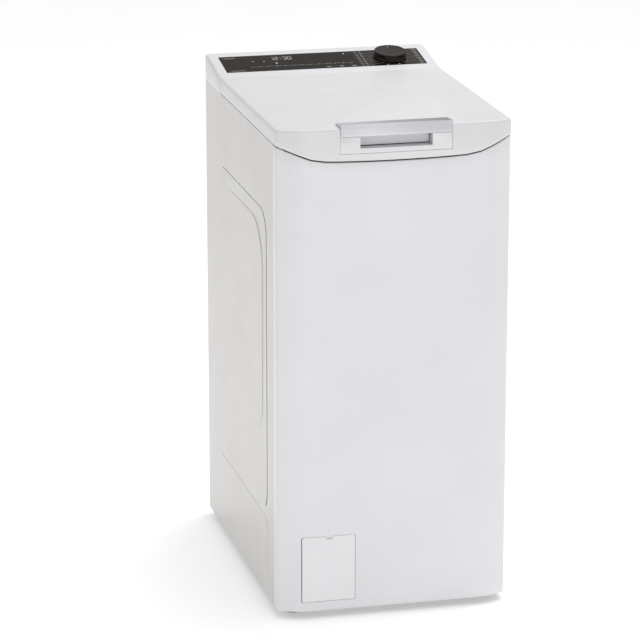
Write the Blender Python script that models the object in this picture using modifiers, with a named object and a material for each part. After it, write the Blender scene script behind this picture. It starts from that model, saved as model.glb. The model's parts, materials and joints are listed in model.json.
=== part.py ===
"""Top load washing machine: a narrow cabinet with a rear-hinged lid and a drum lying across it.

Metres, +Z up, standing on Z = 0, the front towards -Y, the origin under the middle of the whole box.
"""
from math import atan, cos, pi, radians, sin

import bmesh
import bpy
from mathutils import Matrix, Vector

# ---- Driving dimensions -------------------------------------------------------------------------
GAP = 0.0003              # between pieces that touch

# Outer box
HALF_WIDTH = 0.2025       # lid and control housing
SIDE_X = 0.2015           # outer face of the side panels
FRONT_Y = -0.300
REAR_Y = 0.280            # rear panel; its fittings reach REAR_FITTING_Y
REAR_FITTING_Y = 0.3015
CABINET_BOTTOM = 0.013
SHEET = 0.0012            # painted steel sheet

# Front panel plan: flat in the middle, swept back towards tight corners
FLAT_HALF = 0.145
SWEEP_END_X = 0.1975
SWEEP_RATE = 5.1          # set-back = SWEEP_RATE * (|x| - FLAT_HALF) ** 2
FRONT_RETURN_Y = -0.2630  # where the front panel ends on the sides
SWEEP_STEPS = 5
CORNER_STEPS = 4

# Lid and seams
SEAM_Z = 0.8261           # lower edge of the lid's side skirts
SIDE_TOP = 0.8243         # upper edge of the side panels
LID_TOP = 0.8524
LID_REAR_Y = 0.1515
LID_WALL = 0.003
CHIN_BOTTOM = 0.7955      # lowest point of the lid shell
CHIN_REAR_Y = -0.2790     # the chin lies in front of this
LINER_X = 0.176
LINER_Y = (-0.2560, 0.140)
LINER_Z = (0.8285, 0.8315)
CHIN_LINE = (
    (0.0, 0.7961), (0.056, 0.7965), (0.1235, 0.7990), (0.137, 0.8007), (0.164, 0.8100), (0.206, 0.8275),
)
CHIN_GAP = 0.0025
LID_PIVOT_Y = 0.1455
LID_PIVOT_Z = 0.8464
LID_EDGE_RADIUS = 0.006   # rear edge, turned about the pivot
HINGE_X = (0.1795, 0.1835)
HINGE_EYE = 0.0027
HINGE_ARM = 0.026         # from the pivot forward to the stem's front
HINGE_STEM = 0.0042
PIN_RADIUS = 0.0013

# Handle in the lid's chin
HANDLE_HALF = 0.0957
HANDLE_CLEAR = 0.0004
INSERT_Z = (0.8093, 0.8382)
BAR_FRONT_Y = -0.3015
BAR_TOP = 0.8588
BAR_REAR_TOP = 0.8553     # the bar's back slopes down to this
BAR_REAR_Y = -0.2650
POCKET_HALF = 0.0618
POCKET_FLOOR = 0.8174
POCKET_REAR_Y = -0.2680
LEVER_HALF = 0.0612
LEVER_Y = (-0.2675, -0.2650)
LEVER_Z = (0.8190, 0.8470)
LEVER_PIVOT_Z = 0.8440
STEM_Y = (-0.2661, -0.2620)
TONGUE_HALF = 0.012
TONGUE_SLOT_HALF = 0.0145
TONGUE_PATH_Y = -0.2758   # how far forward the notch for the tongue's swing reaches

# Control housing and its sloping fascia
HOUSING_Y = (0.1530, 0.2800)
HOUSING_BOTTOM = 0.8246
FASCIA_START_Y = 0.157
FASCIA_SLOPE = atan(0.165)
FASCIA_END_Y = 0.274
GLASS_HALF = 0.1835
GLASS_Y = (0.177, 0.255)
GLASS_THICK = 0.0026
KNOB_X = 0.124
KNOB_RADIUS = 0.0298
KNOB_HEIGHT = 0.0135
SHAFT_LENGTH = 0.016
SHAFT_HALF = 0.0040

# Top frame and throat
DECK_Z = (0.7935, 0.8000)
DECK_RIM_TOP = 0.8235
FRAME_X = 0.1945
FRAME_Y = (-0.283, 0.150)
THROAT_X = 0.115
THROAT_Y = (-0.150, 0.080)

# Drum and tub, on an axis along X
AXIS_Y = -0.030
AXIS_Z = 0.490
TUB_RADIUS = 0.244
TUB_WALL = 0.0035
TUB_HALF = 0.150
COLLAR_TOP = 0.765
DRUM_RADIUS = 0.225
DRUM_WALL = 0.0018
DRUM_HALF = 0.130
HATCH_X = 0.100
HATCH_Y = 0.0986
FLAP_HINGE_ANGLE = radians(25.4)
SHAFT_RADIUS = 0.018
PULLEY_RADIUS = 0.130
PULLEY_X = (0.163, 0.175)
MOTOR_Y = 0.095
MOTOR_Z = 0.165
MOTOR_RADIUS = 0.050
MOTOR_PULLEY_RADIUS = 0.012
BELT_THICK = 0.0025

# Suspension
SPRING_X = 0.172
SPRING_Z = (0.6563, 0.7837)
SPRING_RADIUS = 0.010
SPRING_WIRE = 0.0018
SPRING_TURNS = 7
LUG_X = (0.140, 0.186)    # lugs on the tub for springs and dampers
DAMPER_X = 0.168
DAMPER_Y = -0.130
LUG_Z = 0.300             # underside of the damper lugs

# Pump, its door and the sump
DOOR_X = (-0.1612, -0.0686)
DOOR_Z = (0.0302, 0.1465)
DOOR_THICK = 0.003
DOOR_HINGE_X = -0.1605
DOOR_HINGE_Y = -0.2985
PUMP_X = -0.115
PUMP_Z = 0.088
SUMP_Y = (-0.085, 0.025)
SUMP_BOTTOM = 0.228
SPOUT_RADIUS = 0.0120     # sump spout and pump nozzle, inside the hose
SPOUT_BORE = 0.0090
HOSE_Y = -0.075

# Feet
FOOT_X = 0.165
FOOT_Y = 0.245
BASE_Z = (0.016, 0.046)

ROUND = 32                # sides of a small round piece
ROUND_BIG = 72            # sides of the drum and the tub

# ---- Scene and helpers --------------------------------------------------------------------------
for old in list(bpy.data.objects):
    bpy.data.objects.remove(old)

PARTS = bpy.data.collections.new("top_load_washing_machine")
CUTTERS = bpy.data.collections.new("cutters")
bpy.context.scene.collection.children.link(PARTS)
bpy.context.scene.collection.children.link(CUTTERS)

# Local Z of an outline or a turned piece is laid along the named world axis
LAY = {
    "X": Matrix(((0, 0, 1), (1, 0, 0), (0, 1, 0))).to_euler(),
    "Y": Matrix(((1, 0, 0), (0, 0, -1), (0, 1, 0))).to_euler(),
    "Z": Matrix.Identity(3).to_euler(),
}
MATERIALS = {}


def file_in(obj, name, tool=False):
    """Name an object and put it with the parts, or with the cutters when it is only a tool."""
    for collection in list(obj.users_collection):
        collection.objects.unlink(obj)
    (CUTTERS if tool else PARTS).objects.link(obj)
    obj.name = name
    if tool:
        obj.hide_render = True
        obj.display_type = "WIRE"
    return obj


def finish(obj, label, colour, roughness, metallic=0.0):
    """Give a part its own Principled BSDF material."""
    material = bpy.data.materials.new(obj.name + "_" + label)
    material.use_nodes = True
    shader = material.node_tree.nodes["Principled BSDF"]
    shader.inputs["Base Color"].default_value = (*colour, 1.0)
    shader.inputs["Roughness"].default_value = roughness
    shader.inputs["Metallic"].default_value = metallic
    obj.data.materials.clear()
    obj.data.materials.append(material)
    return obj


def white(obj):
    return finish(obj, "white_enamel", (0.80, 0.80, 0.81), 0.35)


def white_plastic(obj):
    return finish(obj, "white_plastic", (0.82, 0.82, 0.83), 0.40)


def grey_plastic(obj):
    return finish(obj, "grey_plastic", (0.45, 0.45, 0.46), 0.50)


def black_plastic(obj):
    return finish(obj, "black_plastic", (0.05, 0.05, 0.05), 0.45)


def steel(obj):
    return finish(obj, "steel", (0.60, 0.60, 0.60), 0.28, 1.0)


def cast_metal(obj):
    return finish(obj, "cast_aluminium", (0.55, 0.55, 0.56), 0.50, 1.0)


def rubber(obj):
    return finish(obj, "grey_rubber", (0.18, 0.18, 0.19), 0.75)


def apply_scale(obj):
    bpy.context.view_layer.objects.active = obj
    obj.select_set(True)
    bpy.ops.object.transform_apply(location=False, rotation=False, scale=True)
    obj.select_set(False)


def block(name, x, y, z, tool=False):
    """A box between low and high values on each axis."""
    centre = [(low + high) / 2 for low, high in (x, y, z)]
    bpy.ops.mesh.primitive_cube_add(size=1, location=centre)
    obj = bpy.context.object
    obj.scale = [high - low for low, high in (x, y, z)]
    apply_scale(obj)
    return file_in(obj, name, tool)


def rod(name, radius, span, axis, centre, sides=ROUND, tool=False):
    """A round bar along an axis; centre holds its place on the other two axes, in X, Y, Z order."""
    middle = (span[0] + span[1]) / 2
    index = "XYZ".index(axis)
    place = list(centre)
    place.insert(index, middle)
    length = span[1] - span[0]
    bpy.ops.mesh.primitive_cylinder_add(vertices=sides, radius=radius, depth=length, location=place)
    obj = bpy.context.object
    obj.rotation_euler = LAY[axis]
    obj.data.shade_smooth()
    obj.data.set_sharp_from_angle(angle=radians(35))
    return file_in(obj, name, tool)


def as_mesh(curve_object, name, tool=False):
    """Turn a curve into a welded mesh in the same place."""
    bpy.context.view_layer.update()
    evaluated = curve_object.evaluated_get(bpy.context.evaluated_depsgraph_get())
    mesh = bpy.data.meshes.new_from_object(evaluated)
    shape = bmesh.new()
    shape.from_mesh(mesh)
    bmesh.ops.remove_doubles(shape, verts=shape.verts, dist=0.00001)
    bmesh.ops.recalc_face_normals(shape, faces=shape.faces)
    shape.to_mesh(mesh)
    shape.free()
    obj = bpy.data.objects.new(name, mesh)
    obj.matrix_world = curve_object.matrix_world.copy()
    bpy.context.scene.collection.objects.link(obj)
    bpy.data.objects.remove(curve_object)
    return file_in(obj, name, tool)


def slab(name, outlines, axis, span, tool=False):
    """Flat outlines extruded along an axis; a second outline inside the first is a hole.

    Outline points are (y, z) along X, (x, z) along Y and (x, y) along Z.
    """
    curve = bpy.data.curves.new(name, "CURVE")
    curve.dimensions = "2D"
    curve.fill_mode = "BOTH"
    curve.extrude = (span[1] - span[0]) / 2
    for points in outlines:
        spline = curve.splines.new("POLY")
        spline.points.add(len(points) - 1)
        for point, (first, second) in zip(spline.points, points):
            point.co = (first, second, 0.0, 1.0)
        spline.use_cyclic_u = True
    obj = bpy.data.objects.new(name, curve)
    bpy.context.scene.collection.objects.link(obj)
    obj.rotation_euler = LAY[axis]
    obj.location["XYZ".index(axis)] = (span[0] + span[1]) / 2
    return as_mesh(obj, name, tool)


def turned(name, profile, axis, place, steps=ROUND, closed=False, tool=False):
    """A profile of (radius, height) points turned round an axis through place."""
    mesh = bpy.data.meshes.new(name)
    edges = [(i, i + 1) for i in range(len(profile) - 1)]
    if closed:
        edges.append((len(profile) - 1, 0))
    mesh.from_pydata([(radius, 0.0, height) for radius, height in profile], edges, [])
    obj = bpy.data.objects.new(name, mesh)
    bpy.context.scene.collection.objects.link(obj)
    obj.location = place
    obj.rotation_euler = LAY[axis]
    screw = obj.modifiers.new("turn", "SCREW")
    screw.steps = steps
    screw.render_steps = steps
    screw.use_merge_vertices = True
    screw.merge_threshold = 0.00001
    screw.use_smooth_shade = True
    return file_in(obj, name, tool)


def tube(name, points, radius, resolution=2, tool=False):
    """A round wire or pipe through points."""
    curve = bpy.data.curves.new(name, "CURVE")
    curve.dimensions = "3D"
    curve.bevel_depth = radius
    curve.bevel_resolution = resolution
    curve.use_fill_caps = True
    spline = curve.splines.new("POLY")
    spline.points.add(len(points) - 1)
    for point, place in zip(spline.points, points):
        point.co = (*place, 1.0)
    obj = bpy.data.objects.new(name, curve)
    bpy.context.scene.collection.objects.link(obj)
    return as_mesh(obj, name, tool)


def combine(obj, other, operation):
    step = obj.modifiers.new(other.name, "BOOLEAN")
    step.operation = operation
    step.object = other
    step.solver = "EXACT"
    return obj


def cut(obj, *others):
    for other in others:
        combine(obj, other, "DIFFERENCE")
    return obj


def fuse(obj, *others):
    for other in others:
        combine(obj, other, "UNION")
    return obj


def arc(centre, radius, start, end, steps):
    """Points on an arc, angles in degrees from the first axis towards the second."""
    points = []
    for step in range(steps + 1):
        angle = radians(start + (end - start) * step / steps)
        points.append((centre[0] + radius * cos(angle), centre[1] + radius * sin(angle)))
    return points


def pivot(name, place):
    """An empty on a joint's axis, the parent of what moves on it."""
    empty = bpy.data.objects.new(name, None)
    empty.location = place
    PARTS.objects.link(empty)
    return empty


def hang(empty, *objects):
    """Parent objects to a pivot and leave them where they are."""
    for obj in objects:
        obj.parent = empty
        obj.matrix_parent_inverse = Matrix.Translation(-Vector(empty.location))


def both(span):
    """A span and its mirror image across X = 0, with the side's name."""
    return (("right", span), ("left", (-span[1], -span[0])))


# ---- Shared outlines ----------------------------------------------------------------------------
def front_plan(half_width, inset=0.0):
    """Plan of the front, right to left: flat, swept back, then a tight corner at half_width."""
    def swept(x):
        return FRONT_Y + SWEEP_RATE * (x - FLAT_HALF) ** 2

    sweep_end = half_width - (SIDE_X - SWEEP_END_X)
    turn = atan(2 * SWEEP_RATE * (sweep_end - FLAT_HALF))
    radius = (half_width - sweep_end) / (1 - sin(turn))
    centre = (half_width - radius, swept(sweep_end) + radius * cos(turn))
    start = -90 + turn * 180 / pi
    right = arc(centre, radius - inset, 0, start, CORNER_STEPS)
    for step in range(1, SWEEP_STEPS + 1):
        x = sweep_end + (FLAT_HALF - sweep_end) * step / SWEEP_STEPS
        lean = atan(2 * SWEEP_RATE * (x - FLAT_HALF))
        right.append((x - inset * sin(lean), swept(x) + inset * cos(lean)))
    return right + [(-x, y) for x, y in reversed(right)]


def above_chin(drop, top):
    """Outline in X and Z of everything above the chin line, lowered by drop."""
    right = [(x, z - drop) for x, z in CHIN_LINE]
    left = [(-x, z) for x, z in reversed(right[1:])]
    edge = right[-1][0]
    return left + right + [(edge, top), (-edge, top)]


def below_chin(bottom):
    """Outline in X and Z of everything below the chin line."""
    right = list(CHIN_LINE)
    left = [(-x, z) for x, z in reversed(right[1:])]
    edge = right[-1][0]
    return left + right + [(edge, bottom), (-edge, bottom)]


def fascia_point(y, height=0.0):
    """A point on the fascia, or height above it along its normal, as (y, z)."""
    along = (y - FASCIA_START_Y) / cos(FASCIA_SLOPE)
    return (
        FASCIA_START_Y + along * cos(FASCIA_SLOPE) - height * sin(FASCIA_SLOPE),
        LID_TOP + along * sin(FASCIA_SLOPE) + height * cos(FASCIA_SLOPE),
    )


def fascia_block(name, half_x, y, height, tool=False):
    """A box lying in the fascia's slope; y is measured level, height along the normal."""
    length = (y[1] - y[0]) / cos(FASCIA_SLOPE)
    obj = block(name, (-half_x, half_x), (-length / 2, length / 2), height, tool)
    middle = (height[0] + height[1]) / 2
    place_y, place_z = fascia_point((y[0] + y[1]) / 2, middle)
    obj.location = (0.0, place_y, place_z)
    obj.rotation_euler = (FASCIA_SLOPE, 0.0, 0.0)
    return obj


# ---- Cabinet ------------------------------------------------------------------------------------
def make_front_panel():
    """Sheet wrapped round both front corners, cut to the lid's chin and for the pump door."""
    plan = front_plan(SIDE_X)
    plan = [(SIDE_X, FRONT_RETURN_Y)] + plan + [(-SIDE_X, FRONT_RETURN_Y)]
    mesh = bpy.data.meshes.new("front_panel")
    shape = bmesh.new()
    low = [shape.verts.new((x, y, CABINET_BOTTOM)) for x, y in plan]
    high = [shape.verts.new((x, y, SIDE_TOP)) for x, y in plan]
    for i in range(len(plan) - 1):
        shape.faces.new((low[i + 1], low[i], high[i], high[i + 1]))
    shape.to_mesh(mesh)
    shape.free()
    obj = bpy.data.objects.new("front_panel", mesh)
    bpy.context.scene.collection.objects.link(obj)
    file_in(obj, "front_panel")
    thick = obj.modifiers.new("sheet", "SOLIDIFY")
    thick.thickness = SHEET
    thick.offset = -1
    chin = slab("chin_cutter", [above_chin(CHIN_GAP, 0.84)], "Y", (-0.32, -0.2650), tool=True)
    side_clear = 0.0005
    door = block(
        "door_cutter",
        (DOOR_X[0] - 0.0013, DOOR_X[1] + side_clear),
        (-0.31, -0.27),
        (DOOR_Z[0] - side_clear, DOOR_Z[1] + side_clear),
        tool=True,
    )
    cut(obj, chin, door)
    return white(obj)


def rounded_ring(y, z, radius_low, radius_high, steps=5):
    """Rounded rectangle in (y, z) with its own radius for the lower and the upper corners."""
    points = []
    corners = (
        (y[1] - radius_high, z[1] - radius_high, radius_high, 0),
        (y[0] + radius_high, z[1] - radius_high, radius_high, 90),
        (y[0] + radius_low, z[0] + radius_low, radius_low, 180),
        (y[1] - radius_low, z[0] + radius_low, radius_low, 270),
    )
    for centre_y, centre_z, radius, start in corners:
        points += arc((centre_y, centre_z), radius, start, start + 90, steps)
    return points


def make_side_panel(name, side):
    """Sheet with a pressed recess, a raised field in it and a raised field below."""
    deep = SIDE_X - 0.004
    proud = HALF_WIDTH - 0.0003
    slope = 0.004
    recess = [
        (SIDE_X, rounded_ring((-0.2084, 0.180), (0.162, 0.695), 0.045, 0.045)),
        (deep, rounded_ring((-0.2084 + slope, 0.180 - slope), (0.162 + slope, 0.695 - slope), 0.042, 0.042)),
        (deep, rounded_ring((-0.169, 0.157), (0.2945, 0.6675), 0.050, 0.080)),
        (SIDE_X - 0.0005, rounded_ring((-0.165, 0.153), (0.2985, 0.6635), 0.047, 0.077)),
    ]
    lower = [
        (SIDE_X, rounded_ring((-0.214, 0.175), (0.0555, 0.156), 0.020, 0.020)),
        (proud, rounded_ring((-0.2125, 0.1735), (0.0570, 0.1545), 0.0185, 0.0185)),
    ]
    mesh = bpy.data.meshes.new(name)
    shape = bmesh.new()
    outline = ((FRONT_RETURN_Y + GAP, CABINET_BOTTOM), (REAR_Y, CABINET_BOTTOM), (REAR_Y, SIDE_TOP),
               (FRONT_RETURN_Y + GAP, SIDE_TOP))
    border = [shape.verts.new((side * SIDE_X, y, z)) for y, z in outline]
    edges = [shape.edges.new((border[i], border[(i + 1) % 4])) for i in range(4)]
    for rings in (recess, lower):
        previous = None
        for x, ring in rings:
            verts = [shape.verts.new((side * x, y, z)) for y, z in ring]
            count = len(verts)
            for i in range(count):
                after = (i + 1) % count
                if previous is None:
                    edges.append(shape.edges.new((verts[i], verts[after])))
                else:
                    shape.faces.new((previous[i], previous[after], verts[after], verts[i]))
            previous = verts
        shape.faces.new(previous)
    bmesh.ops.triangle_fill(shape, edges=edges, use_beauty=True)
    bmesh.ops.recalc_face_normals(shape, faces=shape.faces)
    middle_face = max(shape.faces, key=lambda face: face.calc_area())
    if middle_face.normal.x * side < 0:
        bmesh.ops.reverse_faces(shape, faces=shape.faces)
    shape.to_mesh(mesh)
    shape.free()
    obj = bpy.data.objects.new(name, mesh)
    bpy.context.scene.collection.objects.link(obj)
    file_in(obj, name)
    thick = obj.modifiers.new("sheet", "SOLIDIFY")
    thick.thickness = SHEET
    thick.offset = -1
    return white(obj)


def make_base_tray():
    tray = block("base_tray", (-FRAME_X, FRAME_X), (-0.278, 0.274), BASE_Z)
    inside = block("tray_inside", (-0.192, 0.192), (-0.2755, 0.2715), (BASE_Z[0] + 0.003, 0.06), tool=True)
    cut(tray, inside)
    for x in (-FOOT_X, FOOT_X):
        for y in (-FOOT_Y, FOOT_Y):
            cut(tray, rod("foot_hole", 0.0056, (0.0, 0.03), "Z", (x, y), 16, tool=True))
    return grey_plastic(tray)


REAR_HOLES = {
    "valve": (-0.125, 0.785, 0.0140),
    "spigot": (0.130, 0.740, 0.0115),
    "gland": (0.050, 0.785, 0.0085),
    "cap_left": (-0.130, 0.300, 0.0120),
    "cap_right": (0.130, 0.300, 0.0120),
}


def make_rear_panel():
    panel = block("rear_panel", (-0.1996, 0.1996), (REAR_Y - SHEET, REAR_Y), (0.030, SIDE_TOP))
    for label, (x, z, radius) in REAR_HOLES.items():
        cut(panel, rod("hole_" + label, radius, (0.27, 0.29), "Y", (x, z), 24, tool=True))
    return white(panel)


def make_top_frame():
    """Deck round the loading opening, with rims at the sides and spring hangers below."""
    frame = block("top_frame", (-FRAME_X, FRAME_X), FRAME_Y, (DECK_Z[0], DECK_RIM_TOP))
    inside = block("deck_space", (-0.190, 0.190), (-0.29, 0.134), (DECK_Z[1], 0.85), tool=True)
    rear = block("deck_rear", (-0.20, 0.20), (0.140, 0.16), (DECK_Z[1], 0.85), tool=True)
    throat = block("deck_throat", (-THROAT_X, THROAT_X), THROAT_Y, (0.78, 0.83), tool=True)
    hanger_y = (AXIS_Y - 0.015, AXIS_Y + 0.015)
    hanger_z = (SPRING_Z[1] + GAP, DECK_Z[0] + 0.0035)
    for side, span in both((0.160, 0.194)):
        fuse(frame, block("hanger_" + side, span, hanger_y, hanger_z, tool=True))
    cut(frame, inside, rear, throat)
    return white_plastic(frame)


def make_control_housing():
    """Hollow rear cover with a sloping fascia, a pocket for the glass and a window under it."""
    outer = [
        (HOUSING_Y[0], HOUSING_BOTTOM), (HOUSING_Y[0], 0.8500), fascia_point(FASCIA_START_Y),
        fascia_point(FASCIA_END_Y), (HOUSING_Y[1] - 0.001, 0.8690), (HOUSING_Y[1], 0.8660),
        (HOUSING_Y[1], HOUSING_BOTTOM),
    ]
    roof = -0.0050
    inner = [
        (HOUSING_Y[0] + 0.0025, 0.82), (HOUSING_Y[0] + 0.0025, fascia_point(0.158, roof)[1]),
        fascia_point(FASCIA_END_Y, roof), (HOUSING_Y[1] - 0.0025, 0.862), (HOUSING_Y[1] - 0.0025, 0.82),
    ]
    housing = slab("control_housing", [outer], "X", (-HALF_WIDTH, HALF_WIDTH))
    hollow = slab("housing_inside", [inner], "X", (-HALF_WIDTH + 0.0025, HALF_WIDTH - 0.0025), tool=True)
    edge = 0.0004
    pocket_y = (GLASS_Y[0] - edge, GLASS_Y[1] + edge)
    pocket = fascia_block("glass_pocket", GLASS_HALF + edge, pocket_y, (-0.0030, 0.01), tool=True)
    window = fascia_block("glass_window", 0.172, (0.184, 0.248), (-0.012, 0.0), tool=True)
    cut(housing, hollow, pocket, window)
    return white_plastic(housing)


def make_controls():
    """Glass and board in the slope, both pierced for the knob's shaft."""
    middle_y = (GLASS_Y[0] + GLASS_Y[1]) / 2
    glass = fascia_block("control_glass", GLASS_HALF, GLASS_Y, (-GLASS_THICK, 0.0))
    board = fascia_block("control_board", 0.168, (0.187, 0.245), (-0.0120, -0.0104))
    for target, radius in ((glass, 0.0050), (board, 0.0060)):
        hole = rod("shaft_hole", radius, (-0.02, 0.02), "Z", (0.0, 0.0), 24, tool=True)
        place_y, place_z = fascia_point(middle_y)
        hole.location = (KNOB_X, place_y, place_z)
        hole.rotation_euler = (FASCIA_SLOPE, 0.0, 0.0)
        cut(target, hole)
    finish(glass, "black_glass", (0.03, 0.028, 0.025), 0.08)
    finish(board, "circuit_board", (0.03, 0.12, 0.05), 0.5)

    skirt_z = 0.0006
    profile = [
        (0.0, KNOB_HEIGHT), (KNOB_RADIUS - 0.003, KNOB_HEIGHT), (KNOB_RADIUS - 0.001, KNOB_HEIGHT - 0.0015),
        (KNOB_RADIUS, skirt_z), (SHAFT_HALF, skirt_z), (SHAFT_HALF, -SHAFT_LENGTH), (0.0, -SHAFT_LENGTH),
    ]
    place_y, place_z = fascia_point(middle_y)
    knob = turned("program_knob", profile, "Z", (KNOB_X, place_y, place_z), 40)
    knob.rotation_euler = (FASCIA_SLOPE, 0.0, 0.0)
    return finish(knob, "dark_plastic", (0.06, 0.055, 0.05), 0.35)


def make_rear_fittings():
    x, z, radius = REAR_HOLES["valve"]
    valve = block("inlet_valve", (x - 0.024, x + 0.024), (0.232, 0.2755), (z - 0.018, z + 0.018))
    fuse(valve, rod("valve_nose", radius - 0.0008, (0.26, REAR_FITTING_Y), "Y", (x, z), 32, tool=True))
    cut(valve, rod("valve_bore", 0.0090, (0.285, 0.31), "Y", (x, z), 24, tool=True))
    finish(valve, "valve_plastic", (0.75, 0.75, 0.72), 0.45)

    x, z, radius = REAR_HOLES["spigot"]
    spigot = rod("drain_spigot", radius - 0.0006, (0.250, 0.297), "Y", (x, z), 32)
    fuse(spigot, rod("spigot_flange", 0.017, (0.2755, 0.2785 - GAP), "Y", (x, z), 32, tool=True))
    cut(spigot, rod("spigot_bore", 0.0080, (0.24, 0.31), "Y", (x, z), 24, tool=True))
    black_plastic(spigot)

    x, z, radius = REAR_HOLES["gland"]
    gland = rod("mains_gland", radius - 0.0005, (0.270, 0.2860), "Y", (x, z), 24)
    fuse(gland, rod("gland_flange", 0.0115, (REAR_Y + GAP, 0.2855), "Y", (x, z), 24, tool=True))
    cut(gland, rod("gland_bore", 0.0036, (0.26, 0.30), "Y", (x, z), 16, tool=True))
    black_plastic(gland)

    for side in ("left", "right"):
        x, z, radius = REAR_HOLES["cap_" + side]
        cap = rod("transport_cap_" + side, radius - 0.0005, (0.272, 0.283), "Y", (x, z), 24)
        fuse(cap, rod("cap_head", 0.016, (REAR_Y + GAP, 0.2845), "Y", (x, z), 24, tool=True))
        grey_plastic(cap)


def make_dispenser():
    tray = block("dispenser_tray", (-0.150, 0.150), (0.088, 0.132), (DECK_Z[1] + GAP, 0.8222))
    for low, high in ((-0.148, -0.052), (-0.050, 0.050), (0.052, 0.148)):
        cut(tray, block("tray_cell", (low, high), (0.090, 0.130), (DECK_Z[1] + 0.0025, 0.83), tool=True))
    return finish(tray, "blue_grey_plastic", (0.35, 0.42, 0.50), 0.40)


def make_lid_lock():
    """Block with a slot, open at the front and the top, for the latch tongue."""
    lock = block("lid_lock", (-0.030, 0.030), (-0.2674, -0.232), (DECK_Z[1] + GAP, LEVER_Z[0] - 0.0015))
    slot_x = (-TONGUE_SLOT_HALF, TONGUE_SLOT_HALF)
    slot = block("tongue_slot", slot_x, (-0.28, -0.2585), (0.79, 0.83), tool=True)
    cut(lock, slot)
    return black_plastic(lock)


def make_hinge_brackets():
    """Goose-neck brackets: the arm runs forward under the lid's roof, clear of its rear wall."""
    arm_y = LID_PIVOT_Y - HINGE_ARM
    foot_z = DECK_Z[1] + GAP
    for side, span in both(HINGE_X):
        eye = arc((LID_PIVOT_Y, LID_PIVOT_Z), HINGE_EYE, -90, 90, 8)
        outline = eye + [
            (arm_y, LID_PIVOT_Z + HINGE_EYE), (arm_y, foot_z),
            (arm_y + HINGE_STEM, foot_z), (arm_y + HINGE_STEM, LID_PIVOT_Z - HINGE_EYE),
        ]
        bracket = slab("hinge_bracket_" + side, [outline], "X", span)
        bore = rod("eye_bore", PIN_RADIUS + GAP, (-0.2, 0.2), "X", (LID_PIVOT_Y, LID_PIVOT_Z), 16, tool=True)
        cut(bracket, bore)
        steel(bracket)


def make_feet():
    """Round pads on threaded stems; the front pair screws up and down."""
    stem, pad = 0.005, 0.019
    profile = [
        (0.0, 0.042), (stem, 0.042), (stem, 0.011), (0.014, 0.010), (pad, 0.004), (pad, 0.0), (0.0, 0.0),
    ]
    for name, x, y in (
        ("rear_foot_left", -FOOT_X, FOOT_Y), ("rear_foot_right", FOOT_X, FOOT_Y),
        ("front_foot_left", -FOOT_X, -FOOT_Y), ("front_foot_right", FOOT_X, -FOOT_Y),
    ):
        foot = turned(name, profile, "Z", (x, y, 0.0), 24)
        black_plastic(foot)
        if name.startswith("front"):
            hang(pivot(name + "_slide", (x, y, 0.0)), foot)


def make_damping():
    """Dampers between the base and the tub's ends, and a coil spring above each end."""
    rod_radius, base_radius, sleeve_bore, sleeve_radius = 0.0085, 0.0140, 0.0095, 0.0130
    base_z = BASE_Z[0] + 0.003 + GAP
    sleeve_top = LUG_Z - GAP
    rod_profile = [
        (0.0, 0.215), (rod_radius, 0.215), (rod_radius, 0.026), (base_radius, 0.026), (base_radius, base_z),
        (0.0, base_z),
    ]
    sleeve_profile = [
        (0.0, sleeve_top), (sleeve_radius, sleeve_top), (sleeve_radius, 0.165), (sleeve_bore, 0.165),
        (sleeve_bore, 0.260), (0.0, 0.260),
    ]
    for side, x in (("left", -DAMPER_X), ("right", DAMPER_X)):
        steel(turned("damper_rod_" + side, rod_profile, "Z", (x, DAMPER_Y, 0.0), 24))
        black_plastic(turned("damper_tube_" + side, sleeve_profile, "Z", (x, DAMPER_Y, 0.0), 24))

    for side, x in (("left", -SPRING_X), ("right", SPRING_X)):
        points = []
        per_turn = 8
        count = SPRING_TURNS * per_turn
        height = SPRING_Z[1] - SPRING_Z[0] - 2 * SPRING_WIRE
        for i in range(count + 1):
            turn = 2 * pi * i / per_turn
            z = SPRING_Z[0] + SPRING_WIRE + height * i / count
            points.append((x + SPRING_RADIUS * cos(turn), AXIS_Y + SPRING_RADIUS * sin(turn), z))
        steel(tube("spring_" + side, points, SPRING_WIRE, resolution=0))


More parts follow.
